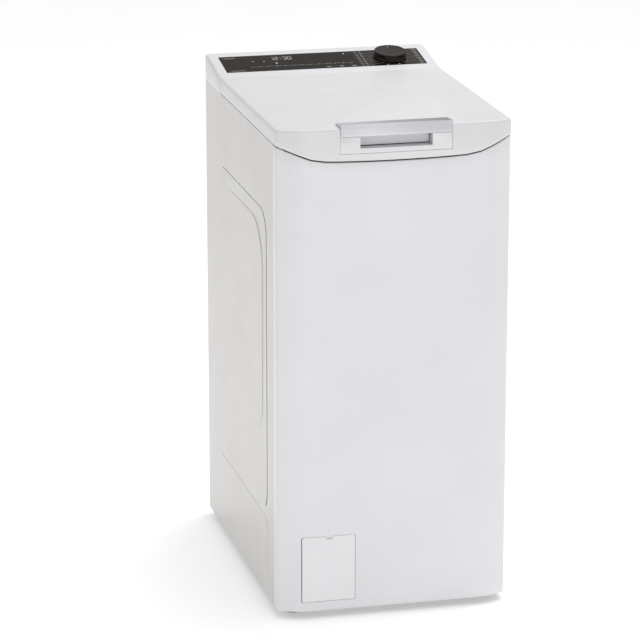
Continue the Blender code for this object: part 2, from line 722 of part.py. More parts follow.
def make_pump():
    """Pump body with the filter bore in front and the inlet nozzle on top; filter and door."""
    foot_x = (PUMP_X - 0.020, PUMP_X + 0.020)
    foot_z = (BASE_Z[0] + 0.0035, PUMP_Z)
    pump = rod("drain_pump", 0.029, (-0.284, -0.050), "Y", (PUMP_X, PUMP_Z), 40)
    fuse(pump, rod("pump_nozzle", SPOUT_RADIUS, (PUMP_Z, 0.150), "Z", (PUMP_X, HOSE_Y), 24, tool=True))
    fuse(pump, block("pump_foot", foot_x, (-0.20, -0.10), foot_z, tool=True))
    cut(pump, rod("filter_bore", 0.0250, (-0.30, -0.200), "Y", (PUMP_X, PUMP_Z), 40, tool=True))
    cut(pump, rod("nozzle_bore", SPOUT_BORE, (0.100, 0.16), "Z", (PUMP_X, HOSE_Y), 24, tool=True))
    finish(pump, "pump_plastic", (0.30, 0.30, 0.32), 0.5)

    rim, body = 0.0235, 0.0180
    profile = [(0.0, 0.0), (rim, 0.0), (rim, -0.008), (body, -0.009), (body, -0.060), (0.0, -0.060)]
    front_y = -0.282
    knob = turned("pump_filter", profile, "Y", (PUMP_X, front_y, PUMP_Z), 32)
    grip_x = (PUMP_X - 0.018, PUMP_X + 0.018)
    grip_z = (PUMP_Z - 0.003, PUMP_Z + 0.003)
    fuse(knob, block("filter_grip", grip_x, (-0.2935, -0.280), grip_z, tool=True))
    finish(knob, "filter_plastic", (0.10, 0.25, 0.45), 0.45)
    hang(pivot("pump_filter_axis", (PUMP_X, front_y, PUMP_Z)), knob)

    door = block("pump_door", DOOR_X, (FRONT_Y, FRONT_Y + DOOR_THICK), DOOR_Z)
    notch_x = (PUMP_X - 0.007, PUMP_X + 0.009)
    cut(door, block("coin_notch", notch_x, (-0.31, FRONT_Y + 0.0018), (DOOR_Z[1] - 0.005, 0.16), tool=True))
    white_plastic(door)
    hang(pivot("pump_door_hinge", (DOOR_HINGE_X, DOOR_HINGE_Y, (DOOR_Z[0] + DOOR_Z[1]) / 2)), door)


# ---- Lid ----------------------------------------------------------------------------------------
def make_lid():
    """Lid shell with its chin, the liner closing it below, the handle parts and the hinge pins."""
    hinge = pivot("lid_hinge", (0.0, LID_PIVOT_Y, LID_PIVOT_Z))
    outer = front_plan(HALF_WIDTH) + [(-HALF_WIDTH, LID_REAR_Y), (HALF_WIDTH, LID_REAR_Y)]
    shell = slab("lid_shell", [outer], "Z", (CHIN_BOTTOM, LID_TOP))
    wall_x = HALF_WIDTH - LID_WALL
    wall_y = LID_REAR_Y - LID_WALL
    inner = front_plan(HALF_WIDTH, LID_WALL) + [(-wall_x, wall_y), (wall_x, wall_y)]
    hollow = slab("lid_inside", [inner], "Z", (0.78, LID_TOP - LID_WALL), tool=True)
    chin = slab("lid_chin_cutter", [below_chin(0.78)], "Y", (-0.32, 0.17), tool=True)
    skirt = block("skirt_cutter", (-0.21, 0.21), (CHIN_REAR_Y, 0.17), (0.77, SEAM_Z), tool=True)
    handle_x = HANDLE_HALF + HANDLE_CLEAR
    handle_y = (-0.31, BAR_REAR_Y + HANDLE_CLEAR)
    handle = block("handle_cutter", (-handle_x, handle_x), handle_y, (INSERT_Z[0] - GAP, 0.87), tool=True)
    corner = arc((LID_PIVOT_Y, LID_PIVOT_Z), LID_EDGE_RADIUS, 0, 90, 6)
    edge = slab("rear_edge_cutter", [corner + [(LID_PIVOT_Y, 0.86), (0.16, 0.86), (0.16, LID_PIVOT_Z)]],
                "X", (-0.21, 0.21), tool=True)
    cut(shell, hollow, chin, skirt, handle, edge)
    notch_side = 0.003
    for side, (low, high) in both(HINGE_X):
        notch_x = (low - notch_side, high + notch_side)
        cut(shell, block("hinge_notch_" + side, notch_x, (0.1475, 0.16), (0.80, 0.8455), tool=True))
    white_plastic(shell)

    liner = block("lid_liner", (-LINER_X, LINER_X), LINER_Y, LINER_Z)
    white_plastic(liner)

    insert = block("handle_insert", (-HANDLE_HALF, HANDLE_HALF), (-0.3002, POCKET_REAR_Y), INSERT_Z)
    pocket_x = (-POCKET_HALF, POCKET_HALF)
    pocket = block("finger_pocket", pocket_x, (-0.31, -0.25), (POCKET_FLOOR, 0.85), tool=True)
    tongue = block("tongue_path", (-0.014, 0.014), (TONGUE_PATH_Y, -0.25), (0.79, 0.85), tool=True)
    cut(insert, pocket, tongue)
    for side, span in both((0.0648, 0.0930)):
        cut(insert, block("insert_hollow_" + side, span, (-0.297, -0.25), (0.8118, 0.8360), tool=True))
    white_plastic(insert)

    base_z = INSERT_Z[1] + GAP
    nose = 0.0012
    lip_y = BAR_FRONT_Y + 0.0045
    bar_outline = [
        (BAR_FRONT_Y, base_z), (BAR_FRONT_Y, BAR_TOP - nose), (BAR_FRONT_Y + nose, BAR_TOP),
        (BAR_REAR_Y, BAR_REAR_TOP), (BAR_REAR_Y, 0.8500), (lip_y, 0.8520), (lip_y, base_z),
    ]
    bar = slab("handle_bar", [bar_outline], "X", (-HANDLE_HALF, HANDLE_HALF))
    finish(bar, "satin_silver", (0.62, 0.61, 0.62), 0.30, 0.8)

    pins = []
    for side, span in both((0.1770, 0.1992)):
        pin = rod("lid_pin_" + side, PIN_RADIUS, span, "X", (LID_PIVOT_Y, LID_PIVOT_Z), 16)
        pins.append(steel(pin))

    lever = block("latch_lever", (-LEVER_HALF, LEVER_HALF), LEVER_Y, LEVER_Z)
    tongue_x = (-TONGUE_HALF, TONGUE_HALF)
    stem = block("lever_stem", tongue_x, STEM_Y, (0.8060, 0.8260), tool=True)
    catch = block("lever_catch", tongue_x, (STEM_Y[0], STEM_Y[1] + 0.0025), (0.8035, 0.8085), tool=True)
    fuse(lever, stem, catch)
    finish(lever, "satin_silver", (0.55, 0.55, 0.56), 0.35, 0.6)
    axis = pivot("latch_axis", (0.0, (LEVER_Y[0] + LEVER_Y[1]) / 2, LEVER_PIVOT_Z))
    axis.parent = hinge
    axis.matrix_parent_inverse = Matrix.Translation(-Vector(hinge.location))
    lever.parent = axis
    lever.matrix_parent_inverse = Matrix.Translation(-Vector(axis.location))
    hang(hinge, shell, liner, insert, bar, *pins)


# ---- Tub, motor and belt ------------------------------------------------------------------------
def make_tub():
    """Plastic tub with its collar, sump, hubs and lugs, and everything that is fixed to it."""
    tub = rod("outer_tub", TUB_RADIUS, (-TUB_HALF, TUB_HALF), "X", (AXIS_Y, AXIS_Z), ROUND_BIG)
    wall = 0.003
    collar_y = (THROAT_Y[0] - wall, THROAT_Y[1] + wall)
    collar = block("collar", (-THROAT_X - wall, THROAT_X + wall), collar_y, (0.62, COLLAR_TOP), tool=True)
    sump = block("sump", (-0.130, 0.130), SUMP_Y, (SUMP_BOTTOM, 0.30), tool=True)
    fuse(tub, collar, sump)
    fuse(tub, rod("sump_spout", SPOUT_RADIUS, (0.200, 0.235), "Z", (PUMP_X, HOSE_Y), 24, tool=True))
    for side, span in both((0.145, 0.156)):
        fuse(tub, rod("hub_" + side, 0.035, span, "X", (AXIS_Y, AXIS_Z), 32, tool=True))
    for side, span in both(LUG_X):
        spring_y = (AXIS_Y - 0.014, AXIS_Y + 0.014)
        damper_y = (DAMPER_Y - 0.015, DAMPER_Y + 0.015)
        fuse(tub, block("spring_lug_" + side, span, spring_y, (0.650, SPRING_Z[0] - GAP), tool=True))
        fuse(tub, block("damper_lug_" + side, span, damper_y, (LUG_Z, LUG_Z + 0.006), tool=True))
    axis = (AXIS_Y, AXIS_Z)
    inner_radius = TUB_RADIUS - TUB_WALL
    inner_half = TUB_HALF - TUB_WALL
    inside = rod("tub_inside", inner_radius, (-inner_half, inner_half), "X", axis, ROUND_BIG, tool=True)
    throat = block("collar_inside", (-THROAT_X, THROAT_X), THROAT_Y, (0.60, 0.80), tool=True)
    sump_y = (SUMP_Y[0] + wall, SUMP_Y[1] - wall)
    sump_inside = block("sump_inside", (-0.127, 0.127), sump_y, (SUMP_BOTTOM + wall, 0.33), tool=True)
    spout = rod("spout_bore", SPOUT_BORE, (0.19, 0.26), "Z", (PUMP_X, HOSE_Y), 24, tool=True)
    shaft = rod("shaft_bore", SHAFT_RADIUS + 0.0005, (-0.2, 0.2), "X", axis, 32, tool=True)
    cut(tub, inside, throat, sump_inside, spout, shaft)
    finish(tub, "tub_plastic", (0.70, 0.70, 0.68), 0.55)

    weight_half = 0.110
    for name, y, z in (
        ("counterweight_upper", (0.120, 0.236), (0.600, 0.736)),
        ("counterweight_lower", (-0.268, -0.165), (0.235, 0.345)),
    ):
        weight = block(name, (-weight_half, weight_half), y, z)
        seat = rod(name + "_seat", TUB_RADIUS + 0.0005, (-0.2, 0.2), "X", axis, ROUND_BIG, tool=True)
        cut(weight, seat)
        finish(weight, "concrete", (0.45, 0.44, 0.42), 0.9)

    motor = rod("motor", MOTOR_RADIUS, (-0.070, 0.080), "X", (MOTOR_Y, MOTOR_Z), 40)
    mount_y = (MOTOR_Y - 0.012, MOTOR_Y + 0.008)
    fuse(motor, block("motor_mount", (-0.045, 0.045), mount_y, (0.20, 0.2735), tool=True))
    cut(motor, rod("motor_bore", 0.0065, (0.060, 0.09), "X", (MOTOR_Y, MOTOR_Z), 16, tool=True))
    cast_metal(motor)

    profile = [
        (0.0, PULLEY_X[1]), (MOTOR_PULLEY_RADIUS, PULLEY_X[1]), (MOTOR_PULLEY_RADIUS, PULLEY_X[0]),
        (0.0060, PULLEY_X[0]), (0.0060, 0.062), (0.0, 0.062),
    ]
    motor_pulley = turned("motor_pulley", profile, "X", (0.0, MOTOR_Y, MOTOR_Z), 24)
    steel(motor_pulley)
    hang(pivot("motor_axis", (0.0, MOTOR_Y, MOTOR_Z)), motor_pulley)

    belt_x = (PULLEY_X[0] + 0.001, PULLEY_X[1] - 0.001)
    belt_lines = [belt_path(GAP + BELT_THICK), belt_path(GAP)]
    rubber(slab("drive_belt", belt_lines, "X", belt_x))

    rise = SUMP_BOTTOM + 0.011
    bend = arc((0.095, -0.030), 0.022, -90, 90, 8)
    points = [(-0.120, -0.052, rise)] + [(x, y, rise) for x, y in bend] + [(-0.120, -0.008, rise)]
    steel(tube("heater", points, 0.0035, resolution=1))

    lip = 0.008
    bellows_z = (COLLAR_TOP + GAP, DECK_Z[0] - GAP)
    bellows_x = (-THROAT_X - lip, THROAT_X + lip)
    bellows = block("bellows", bellows_x, (THROAT_Y[0] - lip, THROAT_Y[1] + lip), bellows_z)
    cut(bellows, block("bellows_inside", (-THROAT_X, THROAT_X), THROAT_Y, (0.74, 0.81), tool=True))
    rubber(bellows)

    hose = turned(
        "sump_hose", [(0.0150, 0.222), (0.0150, 0.136), (0.0124, 0.136), (0.0124, 0.222)],
        "Z", (PUMP_X, HOSE_Y, 0.0), 24, closed=True,
    )
    rubber(hose)


def belt_path(offset):
    """Closed belt line in (y, z), an offset outside both pulleys."""
    along = Vector((MOTOR_Y - AXIS_Y, MOTOR_Z - AXIS_Z))
    heading = along.angle_signed(Vector((1.0, 0.0))) * 180 / pi
    open_angle = atan((PULLEY_RADIUS - MOTOR_PULLEY_RADIUS) / along.length) * 180 / pi
    big_radius = PULLEY_RADIUS + offset
    small_radius = MOTOR_PULLEY_RADIUS + offset
    leave = heading + 90 - open_angle
    big = arc((AXIS_Y, AXIS_Z), big_radius, leave, leave + 180 + 2 * open_angle, 40)
    small = arc((MOTOR_Y, MOTOR_Z), small_radius, leave - 180 + 2 * open_angle, leave, 10)
    return big + small


# ---- Drum ---------------------------------------------------------------------------------------
def make_drum():
    """Drum sheet with its hatch, both ends with their shafts, the pulley, the lifters and the flaps."""
    axis = pivot("drum_axis", (0.0, AXIS_Y, AXIS_Z))
    centre = (AXIS_Y, AXIS_Z)
    drum = rod("drum_shell", DRUM_RADIUS, (-DRUM_HALF, DRUM_HALF), "X", centre, ROUND_BIG)
    inside = rod("drum_inside", DRUM_RADIUS - DRUM_WALL, (-0.2, 0.2), "X", centre, ROUND_BIG, tool=True)
    hatch_y = (AXIS_Y - HATCH_Y, AXIS_Y + HATCH_Y)
    hatch = block("hatch", (-HATCH_X, HATCH_X), hatch_y, (0.60, 0.80), tool=True)
    cut(drum, inside, hatch)
    steel(drum)
    pieces = [drum]

    for side, sign in (("right", 1), ("left", -1)):
        end = 0.1620 if sign > 0 else 0.1590
        stub = 0.0100 if sign > 0 else SHAFT_RADIUS
        tip = 0.180 if sign > 0 else end
        profile = [(0.0, tip), (stub, tip)]
        if sign > 0:
            profile += [(stub, end), (SHAFT_RADIUS, end)]
        face = DRUM_HALF + GAP
        profile += [(SHAFT_RADIUS, 0.140), (0.060, 0.1345), (0.2245, 0.1325), (0.2245, face), (0.0, face)]
        if sign < 0:
            profile = [(radius, -height) for radius, height in reversed(profile)]
        disc = turned("drum_end_" + side, profile, "X", (0.0, AXIS_Y, AXIS_Z), ROUND_BIG)
        pieces.append(steel(disc))

    rim = 0.010
    web_x = (PULLEY_X[0] + 0.004, PULLEY_X[0] + 0.008)
    profile = [
        (PULLEY_RADIUS, PULLEY_X[1]), (PULLEY_RADIUS, PULLEY_X[0]), (PULLEY_RADIUS - rim, PULLEY_X[0]),
        (PULLEY_RADIUS - rim, web_x[0]), (0.020, web_x[0]), (0.020, PULLEY_X[0]), (0.0104, PULLEY_X[0]),
        (0.0104, 0.178), (0.020, 0.178), (0.020, web_x[1]), (PULLEY_RADIUS - rim, web_x[1]),
        (PULLEY_RADIUS - rim, PULLEY_X[1]),
    ]
    pulley = turned("drum_pulley", profile, "X", (0.0, AXIS_Y, AXIS_Z), 48, closed=True)
    for i in range(5):
        turn = 2 * pi * i / 5
        place = (AXIS_Y + 0.070 * cos(turn), AXIS_Z + 0.070 * sin(turn))
        cut(pulley, rod("pulley_window", 0.032, (0.15, 0.19), "X", place, 16, tool=True))
    pieces.append(cast_metal(pulley))

    seat = DRUM_RADIUS - DRUM_WALL - 0.0006
    for name, around in (("lifter_front", 180), ("lifter_bottom", 270), ("lifter_rear", 0)):
        base = arc((0.0, 0.0), seat, -6.5, 6.5, 4)
        crest = arc((0.0, 0.0), seat - 0.042, 1.6, -1.6, 2)
        turn = radians(around)
        outline = []
        for first, second in base + crest:
            along = first * cos(turn) - second * sin(turn)
            up = first * sin(turn) + second * cos(turn)
            outline.append((AXIS_Y + along, AXIS_Z + up))
        lifter = slab(name, [outline], "X", (-DRUM_HALF + 0.001, DRUM_HALF - 0.001))
        pieces.append(grey_plastic(lifter))
    hang(axis, *pieces)

    middle = DRUM_RADIUS - DRUM_WALL / 2
    skin = 0.0001
    flap_x = (-HATCH_X + 0.0012, HATCH_X - 0.0012)
    for name, sign in (("drum_flap_front", -1), ("drum_flap_rear", 1)):
        start = 90 - sign * FLAP_HINGE_ANGLE * 180 / pi
        end = 90 - sign * 0.12
        outline = arc(centre, DRUM_RADIUS - skin, start, end, 10)
        outline += arc(centre, DRUM_RADIUS - DRUM_WALL + skin, end, start, 10)
        flap = slab(name, [outline], "X", flap_x)
        hinge_y = AXIS_Y + sign * middle * sin(FLAP_HINGE_ANGLE)
        hinge_z = AXIS_Z + middle * cos(FLAP_HINGE_ANGLE)
        fuse(flap, rod(name + "_barrel", 0.0019, flap_x, "X", (hinge_y, hinge_z), 12, tool=True))
        steel(flap)
        hinge = pivot(name + "_hinge", (0.0, hinge_y, hinge_z))
        hinge.parent = axis
        hinge.matrix_parent_inverse = Matrix.Translation(-Vector(axis.location))
        hang(hinge, flap)


make_front_panel()
make_side_panel("left_side_panel", -1)
make_side_panel("right_side_panel", 1)
make_base_tray()
make_rear_panel()
make_top_frame()
make_control_housing()
make_controls()
make_rear_fittings()
make_dispenser()
make_lid_lock()
make_hinge_brackets()
make_feet()
make_damping()
make_pump()
make_lid()
make_tub()
make_drum()
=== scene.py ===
"""Top load washing machine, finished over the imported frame.

Metres, +Z up, the front towards -Y. Every outer panel is rebuilt here with its pressings and soft
edges, and so are the springs, bellows, throat rim and sump hose. Everything else inside keeps its
frame solid, with its own finish.
"""
import json
from math import atan, cos, pi, radians, sin, sqrt

import bmesh
import bpy
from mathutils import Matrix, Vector


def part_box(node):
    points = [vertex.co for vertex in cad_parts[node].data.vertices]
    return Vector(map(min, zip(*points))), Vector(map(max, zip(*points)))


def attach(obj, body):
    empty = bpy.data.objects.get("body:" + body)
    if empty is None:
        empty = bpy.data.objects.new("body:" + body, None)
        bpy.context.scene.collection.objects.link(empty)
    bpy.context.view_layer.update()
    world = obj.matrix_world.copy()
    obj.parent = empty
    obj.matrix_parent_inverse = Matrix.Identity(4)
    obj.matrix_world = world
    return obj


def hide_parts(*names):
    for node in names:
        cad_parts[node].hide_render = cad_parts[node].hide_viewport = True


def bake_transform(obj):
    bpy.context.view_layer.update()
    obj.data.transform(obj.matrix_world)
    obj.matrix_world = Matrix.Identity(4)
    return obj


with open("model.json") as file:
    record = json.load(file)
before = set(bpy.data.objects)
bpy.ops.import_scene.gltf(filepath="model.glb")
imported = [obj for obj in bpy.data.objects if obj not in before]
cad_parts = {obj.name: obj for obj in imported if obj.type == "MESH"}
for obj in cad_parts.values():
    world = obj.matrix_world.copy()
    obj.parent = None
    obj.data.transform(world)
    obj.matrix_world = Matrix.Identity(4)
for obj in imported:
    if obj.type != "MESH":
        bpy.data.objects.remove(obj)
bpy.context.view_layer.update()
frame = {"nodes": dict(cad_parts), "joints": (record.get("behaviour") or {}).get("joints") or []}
NODES = frame["nodes"]
JOINTS = {joint["name"]: joint for joint in frame["joints"]}

# ---- Sizes, from the frame where it has them -----------------------------------------------------
MM = 0.001
LID_LOW, LID_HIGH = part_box("lid_shell")
HOUSING_LOW, HOUSING_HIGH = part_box("control_housing")
FRONT_LOW, FRONT_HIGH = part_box("front_panel")
SIDE_LOW, SIDE_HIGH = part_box("right_side_panel")
DOOR_LOW, DOOR_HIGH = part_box("pump_door")
BAR_LOW, BAR_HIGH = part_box("handle_bar")
INSERT_LOW, INSERT_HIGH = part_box("handle_insert")
LEVER_LOW, LEVER_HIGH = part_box("latch_lever")
BELLOWS_LOW, BELLOWS_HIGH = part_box("bellows")

HALF_WIDTH = LID_HIGH[0]
FRONT_Y = FRONT_LOW[1]
LID_TOP = LID_HIGH[2]
SEAM_Z = 0.8261               # lower edge of the lid's side skirts
SIDE_X = FRONT_HIGH[0]
SHEET = 1.2 * MM

FLAT_HALF = 0.145             # the front is flat this far out, then sweeps back
SWEEP_RATE = 5.1              # set-back = rate * (|x| - FLAT_HALF) squared
CORNER_X = 4.0 * MM           # width that the tight corner takes
CHIN_LINE = ((0.0, 0.7961), (0.030, 0.7962), (0.056, 0.7966), (0.090, 0.7975), (0.115, 0.7985),
             (0.128, 0.7995), (0.137, 0.8010), (0.145, 0.8032), (0.164, 0.8104), (0.206, 0.8275))
CHIN_GAP = 2.5 * MM

FASCIA_SLOPE = atan(0.165)
FASCIA_START_Y = 0.157
GLASS_HALF = 0.1835
GLASS_Y = (0.177, 0.255)
KNOB_JOINT = JOINTS["program_select"]
GLASS_MIDDLE_Y = (GLASS_Y[0] + GLASS_Y[1]) / 2
GLASS_HALF_LENGTH = (GLASS_Y[1] - GLASS_Y[0]) / cos(FASCIA_SLOPE) / 2

RECESS_HALF = 0.0618          # finger recess in the lid's handle
RECESS_FLOOR = 0.8174
TONGUE_HALF = 14.0 * MM       # slot for the latch tongue
TONGUE_FRONT_Y = -0.2758
PLATE_FRONT_Y = -0.2812       # front of the lever's pull plate


# ---- Materials -----------------------------------------------------------------------------------
def linear(code):
    """An sRGB hex colour as linear RGBA."""
    channels = [int(code[i:i + 2], 16) / 255 for i in (1, 3, 5)]
    return tuple(c / 12.92 if c <= 0.04045 else ((c + 0.055) / 1.055) ** 2.4 for c in channels) + (1.0,)


def add(tree, kind, inputs=None, links=(), **settings):
    """A node with its settings and input values; links are (output socket, input name)."""
    node = tree.nodes.new(kind)
    for key, value in settings.items():
        setattr(node, key, value)
    for key, value in (inputs or {}).items():
        node.inputs[key].default_value = value
    for socket, key in links:
        tree.links.new(socket, node.inputs[key])
    return node


def noise(tree, place, pattern_mm, detail):
    """Noise with features pattern_mm across."""
    values = {"Scale": 1000 / pattern_mm, "Detail": detail}
    return add(tree, "ShaderNodeTexNoise", values, ((place, "Vector"),)).outputs["Fac"]


def span(tree, value, low, high, to_low=0.0, to_high=1.0):
    """A value carried from one range to another, held at its ends."""
    values = {"From Min": low, "From Max": high, "To Min": to_low, "To Max": to_high}
    return add(tree, "ShaderNodeMapRange", values, ((value, "Value"),)).outputs["Result"]


def start_material(name):
    """A new material with its tree, its shader and object coordinates in metres."""
    material = bpy.data.materials.new(name)
    material.use_nodes = True
    tree = material.node_tree
    shader = tree.nodes["Principled BSDF"]
    place = add(tree, "ShaderNodeTexCoord").outputs["Object"]
    return material, tree, shader, place


def ramp(tree, factor, stops):
    """A colour ramp through (position, linear colour) stops."""
    node = add(tree, "ShaderNodeValToRGB", links=((factor, "Fac"),))
    elements = node.color_ramp.elements
    elements[0].position, elements[0].color = stops[0]
    elements[-1].position, elements[-1].color = stops[-1]
    for position, colour in stops[1:-1]:
        elements.new(position).color = colour
    return node.outputs["Color"]


def mottled(tree, place, pattern_mm, dark, light, detail=3.0):
    """Soft colour variation between two shades, pattern_mm across."""
    return ramp(tree, noise(tree, place, pattern_mm, detail), ((0.35, linear(dark)), (0.65, linear(light))))


def roughened(tree, place, shader, pattern_mm, low, high):
    """Roughness that wanders between two values, pattern_mm across."""
    drift = span(tree, noise(tree, place, pattern_mm, 4.0), 0.3, 0.7, low, high)
    tree.links.new(drift, shader.inputs["Roughness"])


def embossed(tree, shader, height, strength, depth_mm):
    """Bump from a height pattern, depth_mm deep."""
    values = {"Strength": strength, "Distance": depth_mm * MM}
    bump = add(tree, "ShaderNodeBump", values, ((height, "Height"),))
    tree.links.new(bump.outputs["Normal"], shader.inputs["Normal"])


def grained(tree, place, pattern_mm, detail=2.0):
    """Height pattern of a fine grain, pattern_mm across."""
    return noise(tree, place, pattern_mm, detail)


def edge_wear_and_highlight(tree, colour, wear_and_highlight, amount):
    """Blend towards a paler colour where the surface turns a sharp edge: a painted highlight along the edge,
    which also stands for wear.
    """
    geometry = add(tree, "ShaderNodeNewGeometry")
    edge = span(tree, geometry.outputs["Pointiness"], 0.52, 0.62, 0.0, amount)
    mix = add(tree, "ShaderNodeMix", None, ((edge, "Factor"),), data_type="RGBA")
    colour_a, colour_b, mixed = mix.inputs[6], mix.inputs[7], mix.outputs[2]
    tree.links.new(colour, colour_a)
    colour_b.default_value = wear_and_highlight
    return mixed


def painted_steel(name, dark, light):
    """White stoving enamel on pressed steel: an even satin gloss with a faint orange peel, about
    3 mm from crest to crest."""
    material, tree, shader, place = start_material(name)
    tree.links.new(mottled(tree, place, 160, dark, light), shader.inputs["Base Color"])
    roughened(tree, place, shader, 60, 0.30, 0.36)
    embossed(tree, shader, grained(tree, place, 3.0), 0.05, 0.05)
    shader.inputs["IOR"].default_value = 1.50
    shader.inputs["Coat Weight"].default_value = 0.15
    shader.inputs["Coat Roughness"].default_value = 0.20
    return material


def moulded_white(name, dark, light):
    """White ABS from a spark-eroded mould: a fine grain of about 0.6 mm, drawn at 1.2 mm so that it
    shows, which breaks the gloss into a soft sheen."""
    material, tree, shader, place = start_material(name)
    shade = mottled(tree, place, 120, dark, light)
    # sharp edges lifted towards near white, a painted highlight
    tree.links.new(edge_wear_and_highlight(tree, shade, linear("#F4F4F5"), 0.5), shader.inputs["Base Color"])
    roughened(tree, place, shader, 25, 0.34, 0.42)
    embossed(tree, shader, grained(tree, place, 1.2), 0.06, 0.04)
    shader.inputs["IOR"].default_value = 1.52
    return material


def silver_lacquer(name, dark, light, flake, top_shade=None):
    """Silver lacquer on ABS: metal flake in a satin clear coat, with drawn lines along the bar."""
    material, tree, shader, place = start_material(name)
    lines = add(tree, "ShaderNodeMapping", {"Scale": (6.0, 1200.0, 1200.0)}, ((place, "Vector"),))
    values = {"Scale": 1.0, "Detail": 2.0}
    drawn = add(tree, "ShaderNodeTexNoise", values, ((lines.outputs["Vector"], "Vector"),))
    shade = ramp(tree, drawn.outputs["Fac"], ((0.3, linear(dark)), (0.7, linear(light))))
    # sharp edges lifted towards pale silver, a painted highlight
    tree.links.new(edge_wear_and_highlight(tree, shade, linear("#E4E4E6"), 0.6), shader.inputs["Base Color"])
    roughened(tree, place, shader, 8, 0.30, 0.40)
    embossed(tree, shader, drawn.outputs["Fac"], 0.06, 0.03)
    shader.inputs["Metallic"].default_value = flake
    if top_shade:  # upward faces are toned darker towards the right end, in place of a reflection
        spot = add(tree, "ShaderNodeTexCoord")
        facing = add(tree, "ShaderNodeSeparateXYZ", links=((spot.outputs["Normal"], 0),))
        along = add(tree, "ShaderNodeSeparateXYZ", links=((place, 0),))
        upward = span(tree, facing.outputs["Z"], 0.6, 0.95)
        rightward = span(tree, along.outputs["X"], -0.075, 0.085)
        amount = add(tree, "ShaderNodeMath", links=((upward, 0), (rightward, 1)), operation="MULTIPLY")
        base = shader.inputs["Base Color"].links[0].from_socket
        toned = add(tree, "ShaderNodeMix", data_type="RGBA")
        toned.inputs[7].default_value = linear(top_shade)
        tree.links.new(base, toned.inputs[6])
        tree.links.new(amount.outputs[0], toned.inputs[0])
        tree.links.new(toned.outputs[2], shader.inputs["Base Color"])
    return material


def smoked_glass():
    """Toughened glass, back-printed in a warm black: deep, even and mirror smooth, with dust-fine
    roughness changes."""
    material, tree, shader, place = start_material("back_printed_glass")
    tree.links.new(mottled(tree, place, 90, "#19130D", "#1D1711"), shader.inputs["Base Color"])
    roughened(tree, place, shader, 15, 0.16, 0.24)
    embossed(tree, shader, grained(tree, place, 12), 0.02, 0.02)
    shader.inputs["IOR"].default_value = 1.52
    shader.inputs["Specular IOR Level"].default_value = 0.06
    return material


def print_ink(name, thin, full, glow=0.0):
    """Screen-printed ceramic ink: chalky, a little thinner in places, lit from behind on the display; on the
    printed legends its faint glow is painted light.
    """
    material, tree, shader, place = start_material(name)
    tree.links.new(mottled(tree, place, 4, thin, full, 1.0), shader.inputs["Base Color"])
    roughened(tree, place, shader, 2, 0.45, 0.60)
    shader.inputs["Emission Color"].default_value = linear(full)
    shader.inputs["Emission Strength"].default_value = glow
    return material


def graphite_plastic():
    """Charcoal ABS with a satin spark finish and crests painted paler, a painted sheen."""
    material, tree, shader, place = start_material("charcoal_satin_abs")
    shade = mottled(tree, place, 6, "#221B1A", "#28211F")
    tree.links.new(edge_wear_and_highlight(tree, shade, linear("#454240"), 0.5), shader.inputs["Base Color"])
    roughened(tree, place, shader, 4, 0.34, 0.46)
    embossed(tree, shader, grained(tree, place, 0.9), 0.08, 0.04)
    shader.inputs["IOR"].default_value = 1.52
    shader.inputs["Specular IOR Level"].default_value = 0.14
    return material


def moulded(name, dark, light, grain_mm=1.2, rough=(0.42, 0.55)):
    """Injection-moulded plastic in a shade of its own: spark grain, drifting gloss, paler edges as a painted
    highlight.
    """
    material, tree, shader, place = start_material(name)
    shade = mottled(tree, place, 30, dark, light)
    tree.links.new(edge_wear_and_highlight(tree, shade, linear(light), 0.6), shader.inputs["Base Color"])
    roughened(tree, place, shader, 12, *rough)
    embossed(tree, shader, grained(tree, place, grain_mm), 0.10, 0.05)
    shader.inputs["IOR"].default_value = 1.50
    return material


def soft_rubber():
    """EPDM rubber: matt charcoal with a bloom of paler talc and a fine mould grain."""
    material, tree, shader, place = start_material("charcoal_epdm_rubber")
    tree.links.new(mottled(tree, place, 9, "#4B4C4E", "#5E5F61"), shader.inputs["Base Color"])
    roughened(tree, place, shader, 6, 0.65, 0.85)
    embossed(tree, shader, grained(tree, place, 1.0), 0.20, 0.08)
    return material


def brushed_stainless():
    """Stainless sheet, brushed along the drum: long fine lines about 0.3 mm apart, drawn wider."""
    material, tree, shader, place = start_material("brushed_stainless_sheet")
    lines = add(tree, "ShaderNodeMapping", {"Scale": (8.0, 900.0, 900.0)}, ((place, "Vector"),))
    values = {"Scale": 1.0, "Detail": 3.0}
    brushed = add(tree, "ShaderNodeTexNoise", values, ((lines.outputs["Vector"], "Vector"),))
    shade = ramp(tree, brushed.outputs["Fac"], ((0.3, linear("#B9BBBD")), (0.7, linear("#D3D4D6"))))
    tree.links.new(shade, shader.inputs["Base Color"])
    roughened(tree, place, shader, 10, 0.22, 0.34)
    embossed(tree, shader, brushed.outputs["Fac"], 0.10, 0.03)
    shader.inputs["Metallic"].default_value = 1.0
    return material


def pierced_stainless():
    """Drum sheet: bright stainless with 4 mm drain holes every 16 mm, each in a soft dimple; the holes are
    near-black dots of painted shade.
    """
    material, tree, shader, place = start_material("pierced_stainless_sheet")
    cells = add(tree, "ShaderNodeTexVoronoi", {"Scale": 1000 / 16, "Randomness": 0.0}, ((place, "Vector"),))
    distance = cells.outputs["Distance"]
    # near-black at each hole's centre: painted shade where the sheet opens
    stops = ((0.16, linear("#1C1D1F")), (0.20, linear("#C6C8CA")), (1.0, linear("#D4D5D7")))
    shade = ramp(tree, distance, stops)
    tree.links.new(shade, shader.inputs["Base Color"])
    roughened(tree, place, shader, 10, 0.20, 0.30)
    embossed(tree, shader, distance, 0.5, 1.5)
    shader.inputs["Metallic"].default_value = 1.0
    return material


